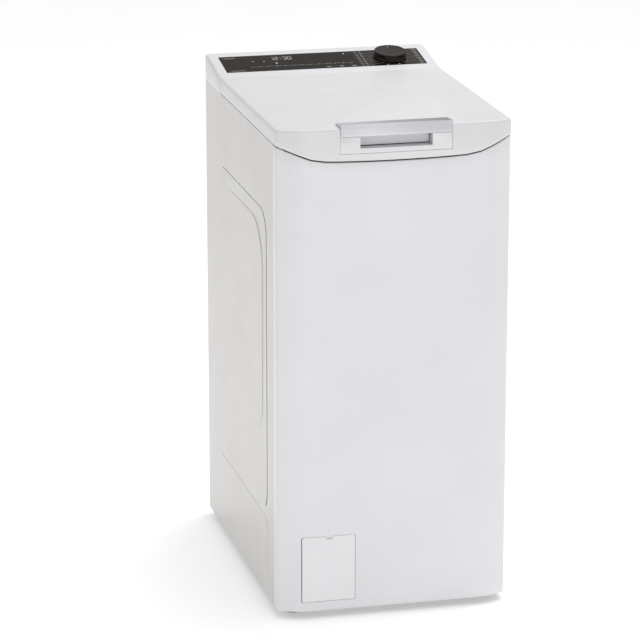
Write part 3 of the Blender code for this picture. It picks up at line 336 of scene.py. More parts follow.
def cast_aluminium():
    """Die-cast aluminium: dull silver with a coarse skin of about 2 mm."""
    material, tree, shader, place = start_material("die_cast_aluminium")
    shade = mottled(tree, place, 12, "#A2A4A6", "#B6B8BA")
    # sharp edges lifted towards bright silver: partly wear, partly a painted highlight
    tree.links.new(edge_wear_and_highlight(tree, shade, linear("#D8DADB"), 0.7), shader.inputs["Base Color"])
    roughened(tree, place, shader, 6, 0.42, 0.58)
    embossed(tree, shader, grained(tree, place, 2.0), 0.20, 0.10)
    shader.inputs["Metallic"].default_value = 1.0
    return material


def zinc_steel():
    """Galvanised steel: cool grey with crystal spangles about 7 mm across."""
    material, tree, shader, place = start_material("galvanised_steel")
    cells = add(tree, "ShaderNodeTexVoronoi", {"Scale": 1000 / 7}, ((place, "Vector"),))
    shade = ramp(tree, cells.outputs["Distance"], ((0.1, linear("#A9ADB0")), (0.7, linear("#C2C6C8"))))
    tree.links.new(shade, shader.inputs["Base Color"])
    roughened(tree, place, shader, 5, 0.30, 0.45)
    embossed(tree, shader, cells.outputs["Distance"], 0.08, 0.05)
    shader.inputs["Metallic"].default_value = 1.0
    return material


def poured_concrete():
    """Ballast concrete: pale grey with sand grain of about 2 mm and pits of about 9 mm."""
    material, tree, shader, place = start_material("ballast_concrete")
    tree.links.new(mottled(tree, place, 9, "#7E7B76", "#A19E98", 6.0), shader.inputs["Base Color"])
    roughened(tree, place, shader, 5, 0.80, 0.95)
    embossed(tree, shader, grained(tree, place, 2.5, 8.0), 0.6, 0.5)
    return material


def circuit_laminate():
    """Green solder lacquer over glass laminate, with tracks about 4 mm apart."""
    material, tree, shader, place = start_material("lacquered_circuit_laminate")
    tracks = add(tree, "ShaderNodeTexWave", {"Scale": 80.0, "Distortion": 6.0}, ((place, "Vector"),))
    shade = ramp(tree, tracks.outputs["Fac"], ((0.4, linear("#1F5A34")), (0.6, linear("#2E7A48"))))
    tree.links.new(shade, shader.inputs["Base Color"])
    roughened(tree, place, shader, 8, 0.30, 0.45)
    embossed(tree, shader, tracks.outputs["Fac"], 0.15, 0.05)
    return material


def studio_floor():
    """Matt white studio paint with a barely visible roller stipple."""
    material, tree, shader, place = start_material("studio_floor_paint")
    tree.links.new(mottled(tree, place, 400, "#FAFAFA", "#FCFCFC"), shader.inputs["Base Color"])
    roughened(tree, place, shader, 50, 0.85, 0.95)
    shader.inputs["Emission Color"].default_value = (1.0, 1.0, 1.0, 1.0)
    shader.inputs["Emission Strength"].default_value = 0.34
    return material


ENAMEL = painted_steel("white_stoving_enamel", "#DEDDE0", "#E1E0E3")
# painted shade: the side panels get a darker, warmer copy of the front's enamel, for the side's lower light
SHADED_SIDE_ENAMEL = painted_steel("shaded_side_stoving_enamel", "#CBC8C5", "#CECBC8")
# painted shadow: dark enamel for the line along the front and top edges of the side recesses
SHADOW_LINE_ENAMEL = painted_steel("painted_shadow_line_enamel", "#3A3837", "#444241")
SHADOW_LINE_ENAMEL.node_tree.nodes["Principled BSDF"].inputs["Specular IOR Level"].default_value = 0.08
WHITE_ABS = moulded_white("white_moulded_abs", "#D8D8DA", "#DBDBDD")
DOOR_ABS = moulded_white("bright_white_abs", "#E2E2E4", "#E5E5E7")
SILVER = silver_lacquer("silver_flake_lacquer", "#BEBCBF", "#C8C6CA", 0.3, "#7C7A7E")
# painted light: a paler, flake-free copy of the silver lacquer for the latch lever, pull plate and recess
# floor, brightened against the shade in the handle's recess
RECESS_LIT_SILVER = silver_lacquer("recess_brightened_silver_lacquer", "#E6E4E8", "#EEECF0", 0.0)
GLASS = smoked_glass()
CHARCOAL = graphite_plastic()
BLACK_ABS = moulded("black_nylon", "#1E1E20", "#2B2B2D")
GREY_ABS = moulded("grey_polypropylene", "#7C7E81", "#8B8D90")
TRAY_BLUE = moulded("blue_grey_polypropylene", "#7D8FA0", "#8C9DAE")
VALVE_WHITE = moulded("ivory_nylon", "#C9C8BE", "#D6D5CC")
PUMP_GREY = moulded("slate_polypropylene", "#4E5054", "#5C5E62")
FILTER_BLUE = moulded("blue_polypropylene", "#2C5C8E", "#3A6FA5")
TUB_GREY = moulded("glass_filled_polypropylene", "#B4B3AF", "#C4C3BF", 2.5, (0.5, 0.65))
RUBBER = soft_rubber()
STAINLESS = brushed_stainless()
PIERCED = pierced_stainless()
CAST = cast_aluminium()
ZINC = zinc_steel()
CONCRETE = poured_concrete()
LAMINATE = circuit_laminate()
# painted light: the white and grey inks glow faintly, though no lamp lights them
INK = print_ink("white_ceramic_ink", "#C2BEB8", "#D2CEC8", 0.10)
INK_DIM = print_ink("grey_ceramic_ink", "#A09C96", "#B0ACA6", 0.05)
DISPLAY = print_ink("display_light", "#C8C5BE", "#D2CFC8", 0.15)
LAMP = print_ink("start_lamp", "#D8D5CE", "#E4E1DA", 0.3)


# ---- Piece and mesh helpers ----------------------------------------------------------------------
def belongs(piece, body, node=None):
    """Hang a piece on the body that it rides on, and hide the frame solid that it stands for."""
    if node:
        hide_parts(node)
    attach(piece, body)


def new_piece(name, material, shape=None, sharp=35):
    """An object from a bmesh, shaded smooth except over edges sharper than an angle."""
    mesh = bpy.data.meshes.new(name)
    if shape is not None:
        bmesh.ops.recalc_face_normals(shape, faces=shape.faces)
        shape.to_mesh(mesh)
        shape.free()
    obj = bpy.data.objects.new(name, mesh)
    bpy.context.scene.collection.objects.link(obj)
    mesh.materials.append(material)
    mesh.shade_smooth()
    mesh.set_sharp_from_angle(angle=radians(sharp))
    return obj


def loft(rings, closed=True, caps=True):
    """Faces between rings of points that match one to one."""
    shape = bmesh.new()
    previous = None
    first = None
    for ring in rings:
        verts = [shape.verts.new(point) for point in ring]
        if previous is not None:
            count = len(verts) if closed else len(verts) - 1
            for i in range(count):
                after = (i + 1) % len(verts)
                shape.faces.new((previous[i], previous[after], verts[after], verts[i]))
        else:
            first = verts
        previous = verts
    if caps:
        shape.faces.new(list(reversed(first)))
        shape.faces.new(previous)
    return shape


def arc(centre, radius, start, end, steps):
    """Points on an arc, in degrees from the first axis towards the second."""
    points = []
    for step in range(steps + 1):
        angle = radians(start + (end - start) * step / steps)
        points.append((centre[0] + radius * cos(angle), centre[1] + radius * sin(angle)))
    return points


def rounded_box(name, material, low, high, radius, segments=3):
    """A box with bevelled edges, between two corners."""
    shape = bmesh.new()
    bmesh.ops.create_cube(shape, size=1)
    for vert in shape.verts:
        vert.co = [low[i] + (vert.co[i] + 0.5) * (high[i] - low[i]) for i in range(3)]
    obj = new_piece(name, material, shape, 60)
    soften(obj, radius, segments)
    return obj


def soften(obj, radius, segments=2, angle=40):
    """Bevel the sharp edges with a modifier."""
    bevel = obj.modifiers.new("soft_edges", "BEVEL")
    bevel.width = radius
    bevel.segments = segments
    bevel.limit_method = "ANGLE"
    bevel.angle_limit = radians(angle)
    bevel.harden_normals = True
    return obj


def turned(name, material, profile, place, turn, steps=48):
    """A closed or axis-ended profile of (radius, height) points, turned about local Z."""
    shape = bmesh.new()
    rings = []
    for radius, height in profile:
        if radius < 1e-6:
            rings.append([shape.verts.new((0.0, 0.0, height))])
        else:
            rings.append([
                shape.verts.new((radius * cos(2 * pi * i / steps), radius * sin(2 * pi * i / steps), height))
                for i in range(steps)
            ])
    for lower, upper in zip(rings, rings[1:]):
        for i in range(steps):
            after = (i + 1) % steps
            corners = []
            low_pair = (lower[i % len(lower)], lower[after % len(lower)])
            for vert in low_pair + (upper[after % len(upper)], upper[i % len(upper)]):
                if vert not in corners:
                    corners.append(vert)
            shape.faces.new(corners)
    obj = new_piece(name, material, shape, 40)
    obj.location = place
    obj.rotation_euler = turn
    return obj


def bake(obj):
    """Apply an object's modifiers, so that what cut it can be removed."""
    bpy.context.view_layer.update()
    evaluated = obj.evaluated_get(bpy.context.evaluated_depsgraph_get())
    mesh = bpy.data.meshes.new_from_object(evaluated)
    obj.modifiers.clear()
    obj.data = mesh
    return obj


def carve(obj, cutters, sharp=35):
    """Cut shapes out of a piece and leave nothing of them behind."""
    for cutter in cutters:
        step = obj.modifiers.new(cutter.name, "BOOLEAN")
        step.operation = "DIFFERENCE"
        step.object = cutter
        step.solver = "MANIFOLD"
    bake(obj)
    for cutter in cutters:
        bpy.data.objects.remove(cutter)
    obj.data.shade_smooth()
    obj.data.set_sharp_from_angle(angle=radians(sharp))
    return obj


def stamp(low, high, radius=0.0):
    """A box to cut with."""
    obj = rounded_box("stamp", ENAMEL, low, high, max(radius, 0.00001), 4)
    if radius == 0.0:
        obj.modifiers.clear()
    return obj


def tube(name, material, points, radius, sides=10):
    """A round wire or pipe swept through points."""
    rings = []
    normal = Vector((0.31, 0.17, 0.93)).normalized()
    for i, point in enumerate(points):
        ahead = Vector(points[min(i + 1, len(points) - 1)])
        behind = Vector(points[max(i - 1, 0)])
        heading = (ahead - behind).normalized()
        normal = (normal - heading * normal.dot(heading)).normalized()
        side = heading.cross(normal)
        rings.append([
            Vector(point) + radius * (cos(2 * pi * k / sides) * normal + sin(2 * pi * k / sides) * side)
            for k in range(sides)
        ])
    return new_piece(name, material, loft(rings), 50)


# ---- Shared outlines -----------------------------------------------------------------------------
def front_plan(half_width, steps=12, corner_steps=8):
    """Plan of the front, right to left, as (x, y, outward normal)."""
    sweep_end = half_width - CORNER_X
    turn = atan(2 * SWEEP_RATE * (sweep_end - FLAT_HALF))
    radius = CORNER_X / (1 - sin(turn))
    centre_x = half_width - radius
    centre_y = FRONT_Y + SWEEP_RATE * (sweep_end - FLAT_HALF) ** 2 + radius * cos(turn)
    right = []
    for step in range(corner_steps + 1):
        angle = (turn - pi / 2) * step / corner_steps
        right.append((centre_x + radius * cos(angle), centre_y + radius * sin(angle), cos(angle), sin(angle)))
    for step in range(1, steps + 1):
        x = sweep_end + (FLAT_HALF - sweep_end) * step / steps
        lean = atan(2 * SWEEP_RATE * (x - FLAT_HALF))
        right.append((x, FRONT_Y + SWEEP_RATE * (x - FLAT_HALF) ** 2, sin(lean), -cos(lean)))
    middle_steps = 12
    for step in range(1, middle_steps // 2):
        right.append((FLAT_HALF * (1 - 2 * step / middle_steps), FRONT_Y, 0.0, -1.0))
    left = [(-x, y, -nx, ny) for x, y, nx, ny in reversed(right)]
    return right + [(0.0, FRONT_Y, 0.0, -1.0)] + left


def chin_height(x):
    """Height of the chin line at x."""
    reach = abs(x)
    for (x0, z0), (x1, z1) in zip(CHIN_LINE, CHIN_LINE[1:]):
        if reach <= x1:
            return z0 + (z1 - z0) * (reach - x0) / (x1 - x0)
    return CHIN_LINE[-1][1]


def fascia_height(y):
    return LID_TOP + (y - FASCIA_START_Y) * 0.165


def on_fascia(x, y, lift=0.0):
    """A point on the sloping fascia, lifted along its normal."""
    return Vector((x, y - lift * sin(FASCIA_SLOPE), fascia_height(y) + lift * cos(FASCIA_SLOPE)))


# ---- Cabinet panels ------------------------------------------------------------------------------
def make_front_panel():
    """One sheet wrapped round both corners, turned in along its top under the lid's chin."""
    plan = front_plan(SIDE_X)
    rear_y = FRONT_HIGH[1]
    plan = [(SIDE_X, rear_y, 1.0, 0.0)] + plan + [(-SIDE_X, rear_y, -1.0, 0.0)]
    roll = 1.6 * MM
    rings = []
    for lift, inset in ((0.0, 2.0 * MM), (0.0, roll), (0.5 * MM, 0.5 * MM), (roll, 0.0)):
        z = FRONT_LOW[2] + lift
        rings.append([(x - nx * inset, y - ny * inset, z) for x, y, nx, ny in plan])
    low = FRONT_LOW[2] + roll
    tops = [min(chin_height(x) - CHIN_GAP, FRONT_HIGH[2]) for x, y, nx, ny in plan]
    for share in (0.03, 0.1, 0.2, 0.35, 0.5, 0.65, 0.8, 0.9, 0.97):
        rings.append([(x, y, low + (top - roll - low) * share) for (x, y, nx, ny), top in zip(plan, tops)])
    for lift, inset in ((roll, 0.0), (0.5 * MM, 0.5 * MM), (0.0, roll), (0.0, 6.0 * MM)):
        rings.append([
            (x - nx * inset, y - ny * inset, top - lift) for (x, y, nx, ny), top in zip(plan, tops)
        ])
    panel = new_piece("front_panel_skin", ENAMEL, loft(rings, closed=False, caps=False), 40)
    for face in panel.data.polygons:
        if face.center.y < FRONT_Y + 0.001 and face.normal.y > 0:
            panel.data.flip_normals()
            break
    thick = panel.modifiers.new("sheet", "SOLIDIFY")
    thick.thickness = SHEET
    thick.offset = -1
    bake(panel)
    clear = 0.5 * MM
    corner_r = 3.0 * MM
    hinge_clear = 1.3 * MM
    opening = stamp(
        (DOOR_LOW[0] - hinge_clear, FRONT_Y - 0.01, DOOR_LOW[2] - clear),
        (DOOR_HIGH[0] + clear, FRONT_Y + 0.02, DOOR_HIGH[2] + clear), corner_r,
    )
    carve(panel, [opening])
    belongs(panel, "cabinet", "front_panel")


def rounded_ring(y, z, radius_low, radius_high, steps=10):
    """Rounded rectangle in (y, z), with its own radius for the lower and the upper corners."""
    points = []
    for centre_y, centre_z, radius, start in (
        (y[1] - radius_high, z[1] - radius_high, radius_high, 0),
        (y[0] + radius_high, z[1] - radius_high, radius_high, 90),
        (y[0] + radius_low, z[0] + radius_low, radius_low, 180),
        (y[1] - radius_low, z[0] + radius_low, radius_low, 270),
    ):
        points += arc((centre_y, centre_z), radius, start, start + 90, steps)
    return points


def pressed_step(y, z, radii, width, x_from, x_to, steps=6):
    """Rings of a pressed step: the sheet leaves one level and meets the next in an S."""
    rings = []
    for step in range(steps + 1):
        share = step / steps
        inset = width * share
        level = x_from + (x_to - x_from) * (share * share * (3 - 2 * share))
        ring_y, ring_z = (y[0] + inset, y[1] - inset), (z[0] + inset, z[1] - inset)
        ring = rounded_ring(ring_y, ring_z, radii[0] - inset, radii[1] - inset)
        rings.append((level, ring))
    return rings


def pressing_share(y, z):
    """The recess is deep along its front and top, and runs out towards its rear and bottom."""
    def ease(share):
        share = min(max(share, 0.0), 1.0)
        return share * share * (3 - 2 * share)

    return ease((0.190 - y) / 0.330) * ease((z - 0.140) / 0.300)


def flatten(panel):
    """Shading normals weighted by area, so that wide flats stay flat beside their pressed edges."""
    weighted = panel.modifiers.new("flats", "WEIGHTED_NORMAL")
    weighted.weight = 50
    weighted.keep_sharp = True


def make_side_panel(name, side, node):
    """Pressed sheet: a shallow recess edged by a painted shadow line, a raised field in it and one below."""
    deep = SIDE_X - 3.0 * MM
    proud = SIDE_HIGH[0] - 0.1 * MM
    shadow_line_wide, shadow_line_high = 5.6 * MM, 1.7 * MM
    front, back = -0.2084, 0.180
    bottom, top = 0.162, 0.695
    corner = 45 * MM
    outer_y, outer_z = (front - shadow_line_wide, back + shadow_line_high), (bottom - shadow_line_high, top + shadow_line_high)
    outer = rounded_ring(outer_y, outer_z, corner, corner)
    recess = [(SIDE_X, outer)]
    recess += pressed_step((front, back), (bottom, top), (corner, corner), 1.4 * MM, SIDE_X, deep)
    field_y, field_z = (-0.1690, 0.157), (0.2945, 0.6675)
    recess += pressed_step(field_y, field_z, (0.050, 0.080), 1.6 * MM, deep, SIDE_X - 1.6 * MM)
    lower = pressed_step((-0.2140, 0.175), (0.0555, 0.156), (0.020, 0.020), 1.0 * MM, SIDE_X, proud, 4)
    shape = bmesh.new()
    front_y = FRONT_HIGH[1] + 0.3 * MM
    rear_y, low_z, high_z = SIDE_HIGH[1], SIDE_LOW[2], SIDE_HIGH[2]
    corners = ((front_y, low_z), (rear_y, low_z), (rear_y, high_z), (front_y, high_z))
    border = [shape.verts.new((side * SIDE_X, y, z)) for y, z in corners]
    edges = [shape.edges.new((border[i], border[(i + 1) % 4])) for i in range(4)]
    for rings, tapers in ((recess, True), (lower, False)):
        previous = None
        for level, ring in rings:
            verts = []
            for y, z in ring:
                depth = (SIDE_X - level) * (pressing_share(y, z) if tapers else 1.0)
                verts.append(shape.verts.new((side * (SIDE_X - depth), y, z)))
            for i, vert in enumerate(verts):
                after = (i + 1) % len(verts)
                if previous is None:
                    edges.append(shape.edges.new((vert, verts[after])))
                else:
                    shape.faces.new((previous[i], previous[after], verts[after], vert))
            previous = verts
        shape.faces.new(previous)
    for face in shape.faces:  # painted shadow: a dark line drawn along the front and top edges of the recess, where shade falls past the bend
        middle = face.calc_center_median()
        flush = abs(abs(middle.x) - SIDE_X) < 0.01 * MM
        along_front = middle.y < front + corner * 0.9 and middle.z > bottom + 12 * MM
        along_top = middle.z > top and middle.y < back - 60 * MM
        face.material_index = 1 if flush and len(face.verts) == 4 and (along_front or along_top) else 0
    bmesh.ops.triangle_fill(shape, edges=edges, use_beauty=True)
    # the sheet takes the darker side enamel, a painted shade
    panel = new_piece(name, SHADED_SIDE_ENAMEL, shape, 50)
    # the second slot holds the painted shadow line
    panel.data.materials.append(SHADOW_LINE_ENAMEL)
    largest = max(panel.data.polygons, key=lambda face: face.area)
    if largest.normal.x * side < 0:
        panel.data.flip_normals()
    thick = panel.modifiers.new("sheet", "SOLIDIFY")
    thick.thickness = SHEET
    thick.offset = -1
    flatten(panel)
    belongs(panel, "cabinet", node)


def fill_sheet(name, border, fields, holes, level):
    """A sheet in X and Z at y = level: its border, pressed fields as (y, ring) lists, and holes."""
    shape = bmesh.new()
    edges = []

    def ring_of(points, y):
        verts = [shape.verts.new((x, y, z)) for x, z in points]
        return verts, [(verts[i], verts[(i + 1) % len(verts)]) for i in range(len(verts))]

    for points in [border] + holes:
        verts, pairs = ring_of(points, level)
        edges += [shape.edges.new(pair) for pair in pairs]
    for field in fields:
        previous = None
        for y, points in field:
            verts, pairs = ring_of(points, y)
            for i, pair in enumerate(pairs):
                if previous is None:
                    edges.append(shape.edges.new(pair))
                else:
                    shape.faces.new((previous[i][0], previous[i][1], pair[1], pair[0]))
            previous = pairs
        shape.faces.new([pair[0] for pair in previous])
    bmesh.ops.triangle_fill(shape, edges=edges, use_beauty=True)
    return new_piece(name, ENAMEL, shape, 50)


def make_rear_panel():
    """Rear sheet with two pressed fields, holes for its fittings and cross-recessed screws."""
    low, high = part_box("rear_panel")
    level = high[1]
    hole_radii = {
        "inlet_valve": 14.0 * MM, "drain_spigot": 11.5 * MM, "mains_gland": 8.5 * MM,
        "transport_cap_left": 12.0 * MM, "transport_cap_right": 12.0 * MM,
    }
    holes = []
    for node, radius in hole_radii.items():
        node_low, node_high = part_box(node)
        centre = ((node_low[0] + node_high[0]) / 2, (node_low[2] + node_high[2]) / 2)
        holes.append(arc(centre, radius, 0, 352.5, 47))
    fields = []
    for z in ((0.355, 0.690), (0.075, 0.245)):
        fields.append(pressed_step((-0.150, 0.150), z, (22 * MM, 22 * MM), 5 * MM, level, level - 2.4 * MM))
    border = [(low[0], low[2]), (high[0], low[2]), (high[0], high[2]), (low[0], high[2])]
    panel = fill_sheet("rear_panel_skin", border, fields, holes, level)
    largest = max(panel.data.polygons, key=lambda face: face.area)
    if largest.normal.y < 0:
        panel.data.flip_normals()
    thick = panel.modifiers.new("sheet", "SOLIDIFY")
    thick.thickness = SHEET
    thick.offset = -1
    flatten(panel)
    belongs(panel, "cabinet", "rear_panel")
    edge_x, edge_z = high[0] - 8 * MM, (low[2] + 10 * MM, 0.31, 0.56, high[2] - 10 * MM)
    count = 0
    for side in (-1, 1):
        for z in edge_z:
            count += 1
            make_screw("rear_screw_%d" % count, (side * edge_x, level, z), (-pi / 2, 0.0, 0.3 * count))


def make_screw(name, place, turn):
    """Pan-head screw, its cross recess cut in."""
    radius, height = 3.8 * MM, 1.9 * MM
    flange = radius + 0.8 * MM
    profile = [(0.0, 0.05 * MM), (flange, 0.05 * MM), (flange, 0.6 * MM), (radius, 0.6 * MM)]
    for step in range(1, 6):
        angle = pi / 2 * step / 6
        profile.append((radius * cos(angle), 0.6 * MM + height * sin(angle)))
    profile.append((0.0, 0.6 * MM + height))
    screw = turned(name, ZINC, profile, (0.0, 0.0, 0.0), (0.0, 0.0, 0.0), 24)
    arm, half = 2.1 * MM, 0.45 * MM
    floor_z = height - 0.9 * MM
    slots = [stamp((-x, -y, floor_z), (x, y, 0.01)) for x, y in ((arm, half), (half, arm))]
    carve(screw, slots, 40)
    screw.location = place
    screw.rotation_euler = turn
    belongs(screw, "cabinet")


def make_throat_rim():
    """Moulded funnel lip round the loading throat, with a flange on the deck."""
    low, high = BELLOWS_LOW, BELLOWS_HIGH
    wall = 8.0 * MM
    x = (low[0] + wall, high[0] - wall)
    y = (low[1] + wall, high[1] - wall)
    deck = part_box("lid_lock")[0][2] - 0.3 * MM
    section = (
        (14.0, 0.05), (13.6, 1.6), (11.0, 2.5), (7.0, 3.4), (4.0, 4.2), (1.5, 4.4), (0.0, 4.0), (-1.0, 3.0),
        (-1.5, 1.0), (-1.5, -4.5), (-0.3, -4.5), (-0.3, 0.05), (14.0, 0.05),
    )
    rings = []
    for offset, rise in section:
        reach = offset * MM
        corner = 6 * MM + max(reach, 0.0)
        ring = rounded_ring((x[0] - reach, x[1] + reach), (y[0] - reach, y[1] + reach), corner, corner, 6)
        rings.append([(px, py, deck + rise * MM) for px, py in ring])
    shape = loft(rings, caps=False)
    bmesh.ops.remove_doubles(shape, verts=shape.verts, dist=0.000001)
    rim = new_piece("throat_funnel_rim", WHITE_ABS, shape, 50)
    belongs(rim, "cabinet")


make_front_panel()
make_side_panel("left_side_skin", -1, "left_side_panel")
make_side_panel("right_side_skin", 1, "right_side_panel")
make_rear_panel()
make_throat_rim()


# ---- Lid -----------------------------------------------------------------------------------------
LID_REAR_Y = LID_HIGH[1]
SIDE_EDGE = 6.0 * MM          # soft edge along the lid's sides and rear
FRONT_EDGE = 3.5 * MM         # tighter edge along its front
CHIN_START_Y = -0.2790        # the chin lies in front of this


def lid_plan():
    """Plan of the lid as (x, y, normal x, normal y, top edge radius)."""
    points = []
    for x, y, nx, ny in front_plan(HALF_WIDTH, steps=16):
        share = min(1.0, max(0.0, abs(nx)))
        points.append((x, y, nx, ny, FRONT_EDGE + (SIDE_EDGE - FRONT_EDGE) * share))
    corner = 1.5 * MM
    side_steps = 10
    rear = LID_REAR_Y - corner
    side = []
    start_y = points[0][1]
    for step in range(1, side_steps):
        side.append((HALF_WIDTH, start_y + (rear - start_y) * step / side_steps, 1.0, 0.0, SIDE_EDGE))
    for angle in (0, 30, 60, 90):  # the small rear corner moves in as one, along its mitre
        turn = radians(angle)
        x = HALF_WIDTH - corner + corner * cos(turn)
        side.append((x, rear + corner * sin(turn), 1.0, 1.0, SIDE_EDGE))
    left = [(-x, y, -nx, ny, edge) for x, y, nx, ny, edge in reversed(side)]
    return points + list(reversed(left)) + list(reversed(side))


def make_lid_shell():
    """Moulded shell: soft top edges, side skirts, and the chin that drops into the front panel."""
    plan = lid_plan()
    foot = 0.8 * MM

    def bottom(x, y):
        return chin_height(x) if y < CHIN_START_Y else SEAM_Z

    rings = [
        [(x - nx * 2.6 * MM, y - ny * 2.6 * MM, bottom(x, y)) for x, y, nx, ny, edge in plan],
        [(x - nx * foot, y - ny * foot, bottom(x, y)) for x, y, nx, ny, edge in plan],
        [
            (x - nx * foot * 0.3, y - ny * foot * 0.3, bottom(x, y) + foot * 0.3)
            for x, y, nx, ny, edge in plan
        ],
        [(x, y, bottom(x, y) + foot) for x, y, nx, ny, edge in plan],
    ]
    for share in (0.35, 0.7):
        rings.append([
            (x, y, bottom(x, y) + foot + (LID_TOP - edge - bottom(x, y) - foot) * share)
            for x, y, nx, ny, edge in plan
        ])
    edge_steps = 8
    for step in range(edge_steps + 1):
        turn = pi / 2 * step / edge_steps
        rings.append([
            (
                x - nx * edge * (1 - cos(turn)), y - ny * edge * (1 - cos(turn)),
                LID_TOP - edge * (1 - sin(turn)),
            )
            for x, y, nx, ny, edge in plan
        ])
    outside = loft(rings, caps=False)
    outside.verts.ensure_lookup_table()
    outside.faces.new(outside.verts[-len(plan):])
    shell = new_piece("lid_top_shell", WHITE_ABS, outside, 45)
    highest = max(shell.data.polygons, key=lambda face: face.center.z * 10 + face.area)
    if highest.normal.z < 0:
        shell.data.flip_normals()
    thick = shell.modifiers.new("wall", "SOLIDIFY")
    thick.thickness = 2.6 * MM
    thick.offset = -1
    bake(shell)
    handle = stamp(
        (BAR_LOW[0] - 0.4 * MM, FRONT_Y - 0.02, INSERT_LOW[2] - 0.5 * MM),
        (BAR_HIGH[0] + 0.4 * MM, BAR_HIGH[1] + 0.4 * MM, LID_TOP + 0.02), 1.2 * MM,
    )
    hinge_x, hinge_half = 0.1815, 5 * MM
    notches = []
    for side in (-1, 1):
        x = side * hinge_x
        notches.append(stamp((x - hinge_half, 0.1475, 0.80), (x + hinge_half, 0.17, 0.8455)))
    carve(shell, [handle] + notches, 40)
    belongs(shell, "lid", "lid_shell")


def make_liner():
    """Inner liner with a raised rim and a splash dome over the throat."""
    low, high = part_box("lid_liner")
    panel = rounded_box("lid_inner_liner", WHITE_ABS, low, high, 1.0 * MM)
    belongs(panel, "lid", "lid_liner")
    dome_half, dome_y, dome_corner = 0.105, (-0.148, 0.072), 0.034
    frame_rings = []
    for inset_mm, drop_mm in ((0.0, 0.0), (1.0, 2.0), (5.0, 2.4), (6.5, 0.6), (30.0, 0.5)):
        inset = inset_mm * MM
        corner = dome_corner - inset * 0.8
        ring_x, ring_y = (-dome_half + inset, dome_half - inset), (dome_y[0] + inset, dome_y[1] - inset)
        ring = rounded_ring(ring_x, ring_y, corner, corner)
        frame_rings.append([(x, y, low[2] - drop_mm * MM) for x, y in ring])
    dome = new_piece("lid_splash_dome", WHITE_ABS, loft(frame_rings), 50)
    belongs(dome, "lid")


def make_handle():
    """Silver bar with bevelled ends over a white insert, whose recess ends in the latch lever."""
    half = BAR_HIGH[0]
    front, rear = BAR_LOW[1], BAR_HIGH[1]
    base, top = BAR_LOW[2], BAR_HIGH[2]
    nose = 1.0 * MM
    rear_top = top - 3.5 * MM
    section = [(front, base), (front, base + 4 * MM), (front + 0.1 * MM, top - 3.2 * MM)]
    section += arc((front + nose, top - nose), nose, 180, 97, 5)
    for share in (0.25, 0.5, 0.75, 0.97):
        section.append((front + (rear - front) * share, top + (rear_top - top) * share))
    section += [(rear, rear_top - nose), (rear, LID_TOP - 2.4 * MM)]
    lip = front + 4.5 * MM
    section += [(lip + 1.0 * MM, LID_TOP - 0.6 * MM), (lip, LID_TOP - 1.6 * MM), (lip, base)]
    rings = []
    taper = 1.6 * MM           # the ends are eased by a narrow soft edge
    left_end = [
        (-half, 1.0 * MM, 0.8 * MM), (-half + 0.4 * MM, 0.4 * MM, 0.3 * MM), (-half + taper, 0.0, 0.0),
    ]
    right_end = [(-x, inset, drop) for x, inset, drop in reversed(left_end)]
    for x, inset, drop in left_end + [(0.0, 0.0, 0.0)] + right_end:
        ring = []
        for y, z in section:
            forward = max(0.0, 1.0 - (y - front) / (6 * MM))
            upward = max(0.0, (z - LID_TOP) / (top - LID_TOP))
            ring.append((x, y + inset * forward, z - drop * upward))
        rings.append(ring)
    bar = new_piece("handle_grip_bar", SILVER, loft(rings), 35)
    belongs(bar, "lid", "handle_bar")

    bezel_high = (INSERT_HIGH[0], INSERT_HIGH[1], INSERT_HIGH[2] - 0.5 * MM)
    insert = rounded_box("handle_bezel", WHITE_ABS, INSERT_LOW, bezel_high, 0.9 * MM)
    past = 20 * MM             # how far the cutters reach beyond the moulding
    back = INSERT_HIGH[1] + past
    pocket_low = (-RECESS_HALF, FRONT_Y - past, RECESS_FLOOR)
    pocket = stamp(pocket_low, (RECESS_HALF, back, INSERT_HIGH[2] + past), 1.4 * MM)
    tongue = stamp((-TONGUE_HALF, TONGUE_FRONT_Y, 0.79), (TONGUE_HALF, back, RECESS_FLOOR + 0.01))
    hollow_z = (0.8118, 0.8360)
    hollows = []
    for inner, outer in ((-0.0930, -0.0648), (0.0648, 0.0930)):
        hollows.append(stamp((inner, FRONT_Y + 3 * MM, hollow_z[0]), (outer, back, hollow_z[1])))
    bake(insert)
    carve(insert, [pocket, tongue] + hollows, 40)
    belongs(insert, "lid", "handle_insert")

    floor_low = (-RECESS_HALF + 0.3 * MM, INSERT_LOW[1] + 1.2 * MM, RECESS_FLOOR + 0.02 * MM)
    floor_high = (RECESS_HALF - 0.3 * MM, PLATE_FRONT_Y, RECESS_FLOOR + 0.5 * MM)
    floor = rounded_box("recess_floor_trim", RECESS_LIT_SILVER, floor_low, floor_high, 0.2 * MM)
    belongs(floor, "lid")
    # painted shadow: a dark rubber strip in the gap under the pull plate, where shade falls between the plate
    # and the recess floor
    shadow_strip_low = (floor_low[0], PLATE_FRONT_Y + 0.1 * MM, floor_low[2])
    shadow_strip_high = (floor_high[0], TONGUE_FRONT_Y - 0.5 * MM, floor_high[2])
    shadow_strip = rounded_box("recess_shadow_strip", RUBBER, shadow_strip_low, shadow_strip_high, 0.2 * MM)
    belongs(shadow_strip, "lid")
    plate_half = RECESS_HALF - 1.0 * MM
    plate = rounded_box(
        "latch_pull_plate", RECESS_LIT_SILVER, (-plate_half, PLATE_FRONT_Y, RECESS_FLOOR + 1.7 * MM),
        (plate_half, LEVER_LOW[1] + 0.5 * MM, 0.8350), 0.6 * MM,
    )
    belongs(plate, "latch_lever")


make_lid_shell()
make_liner()
make_handle()


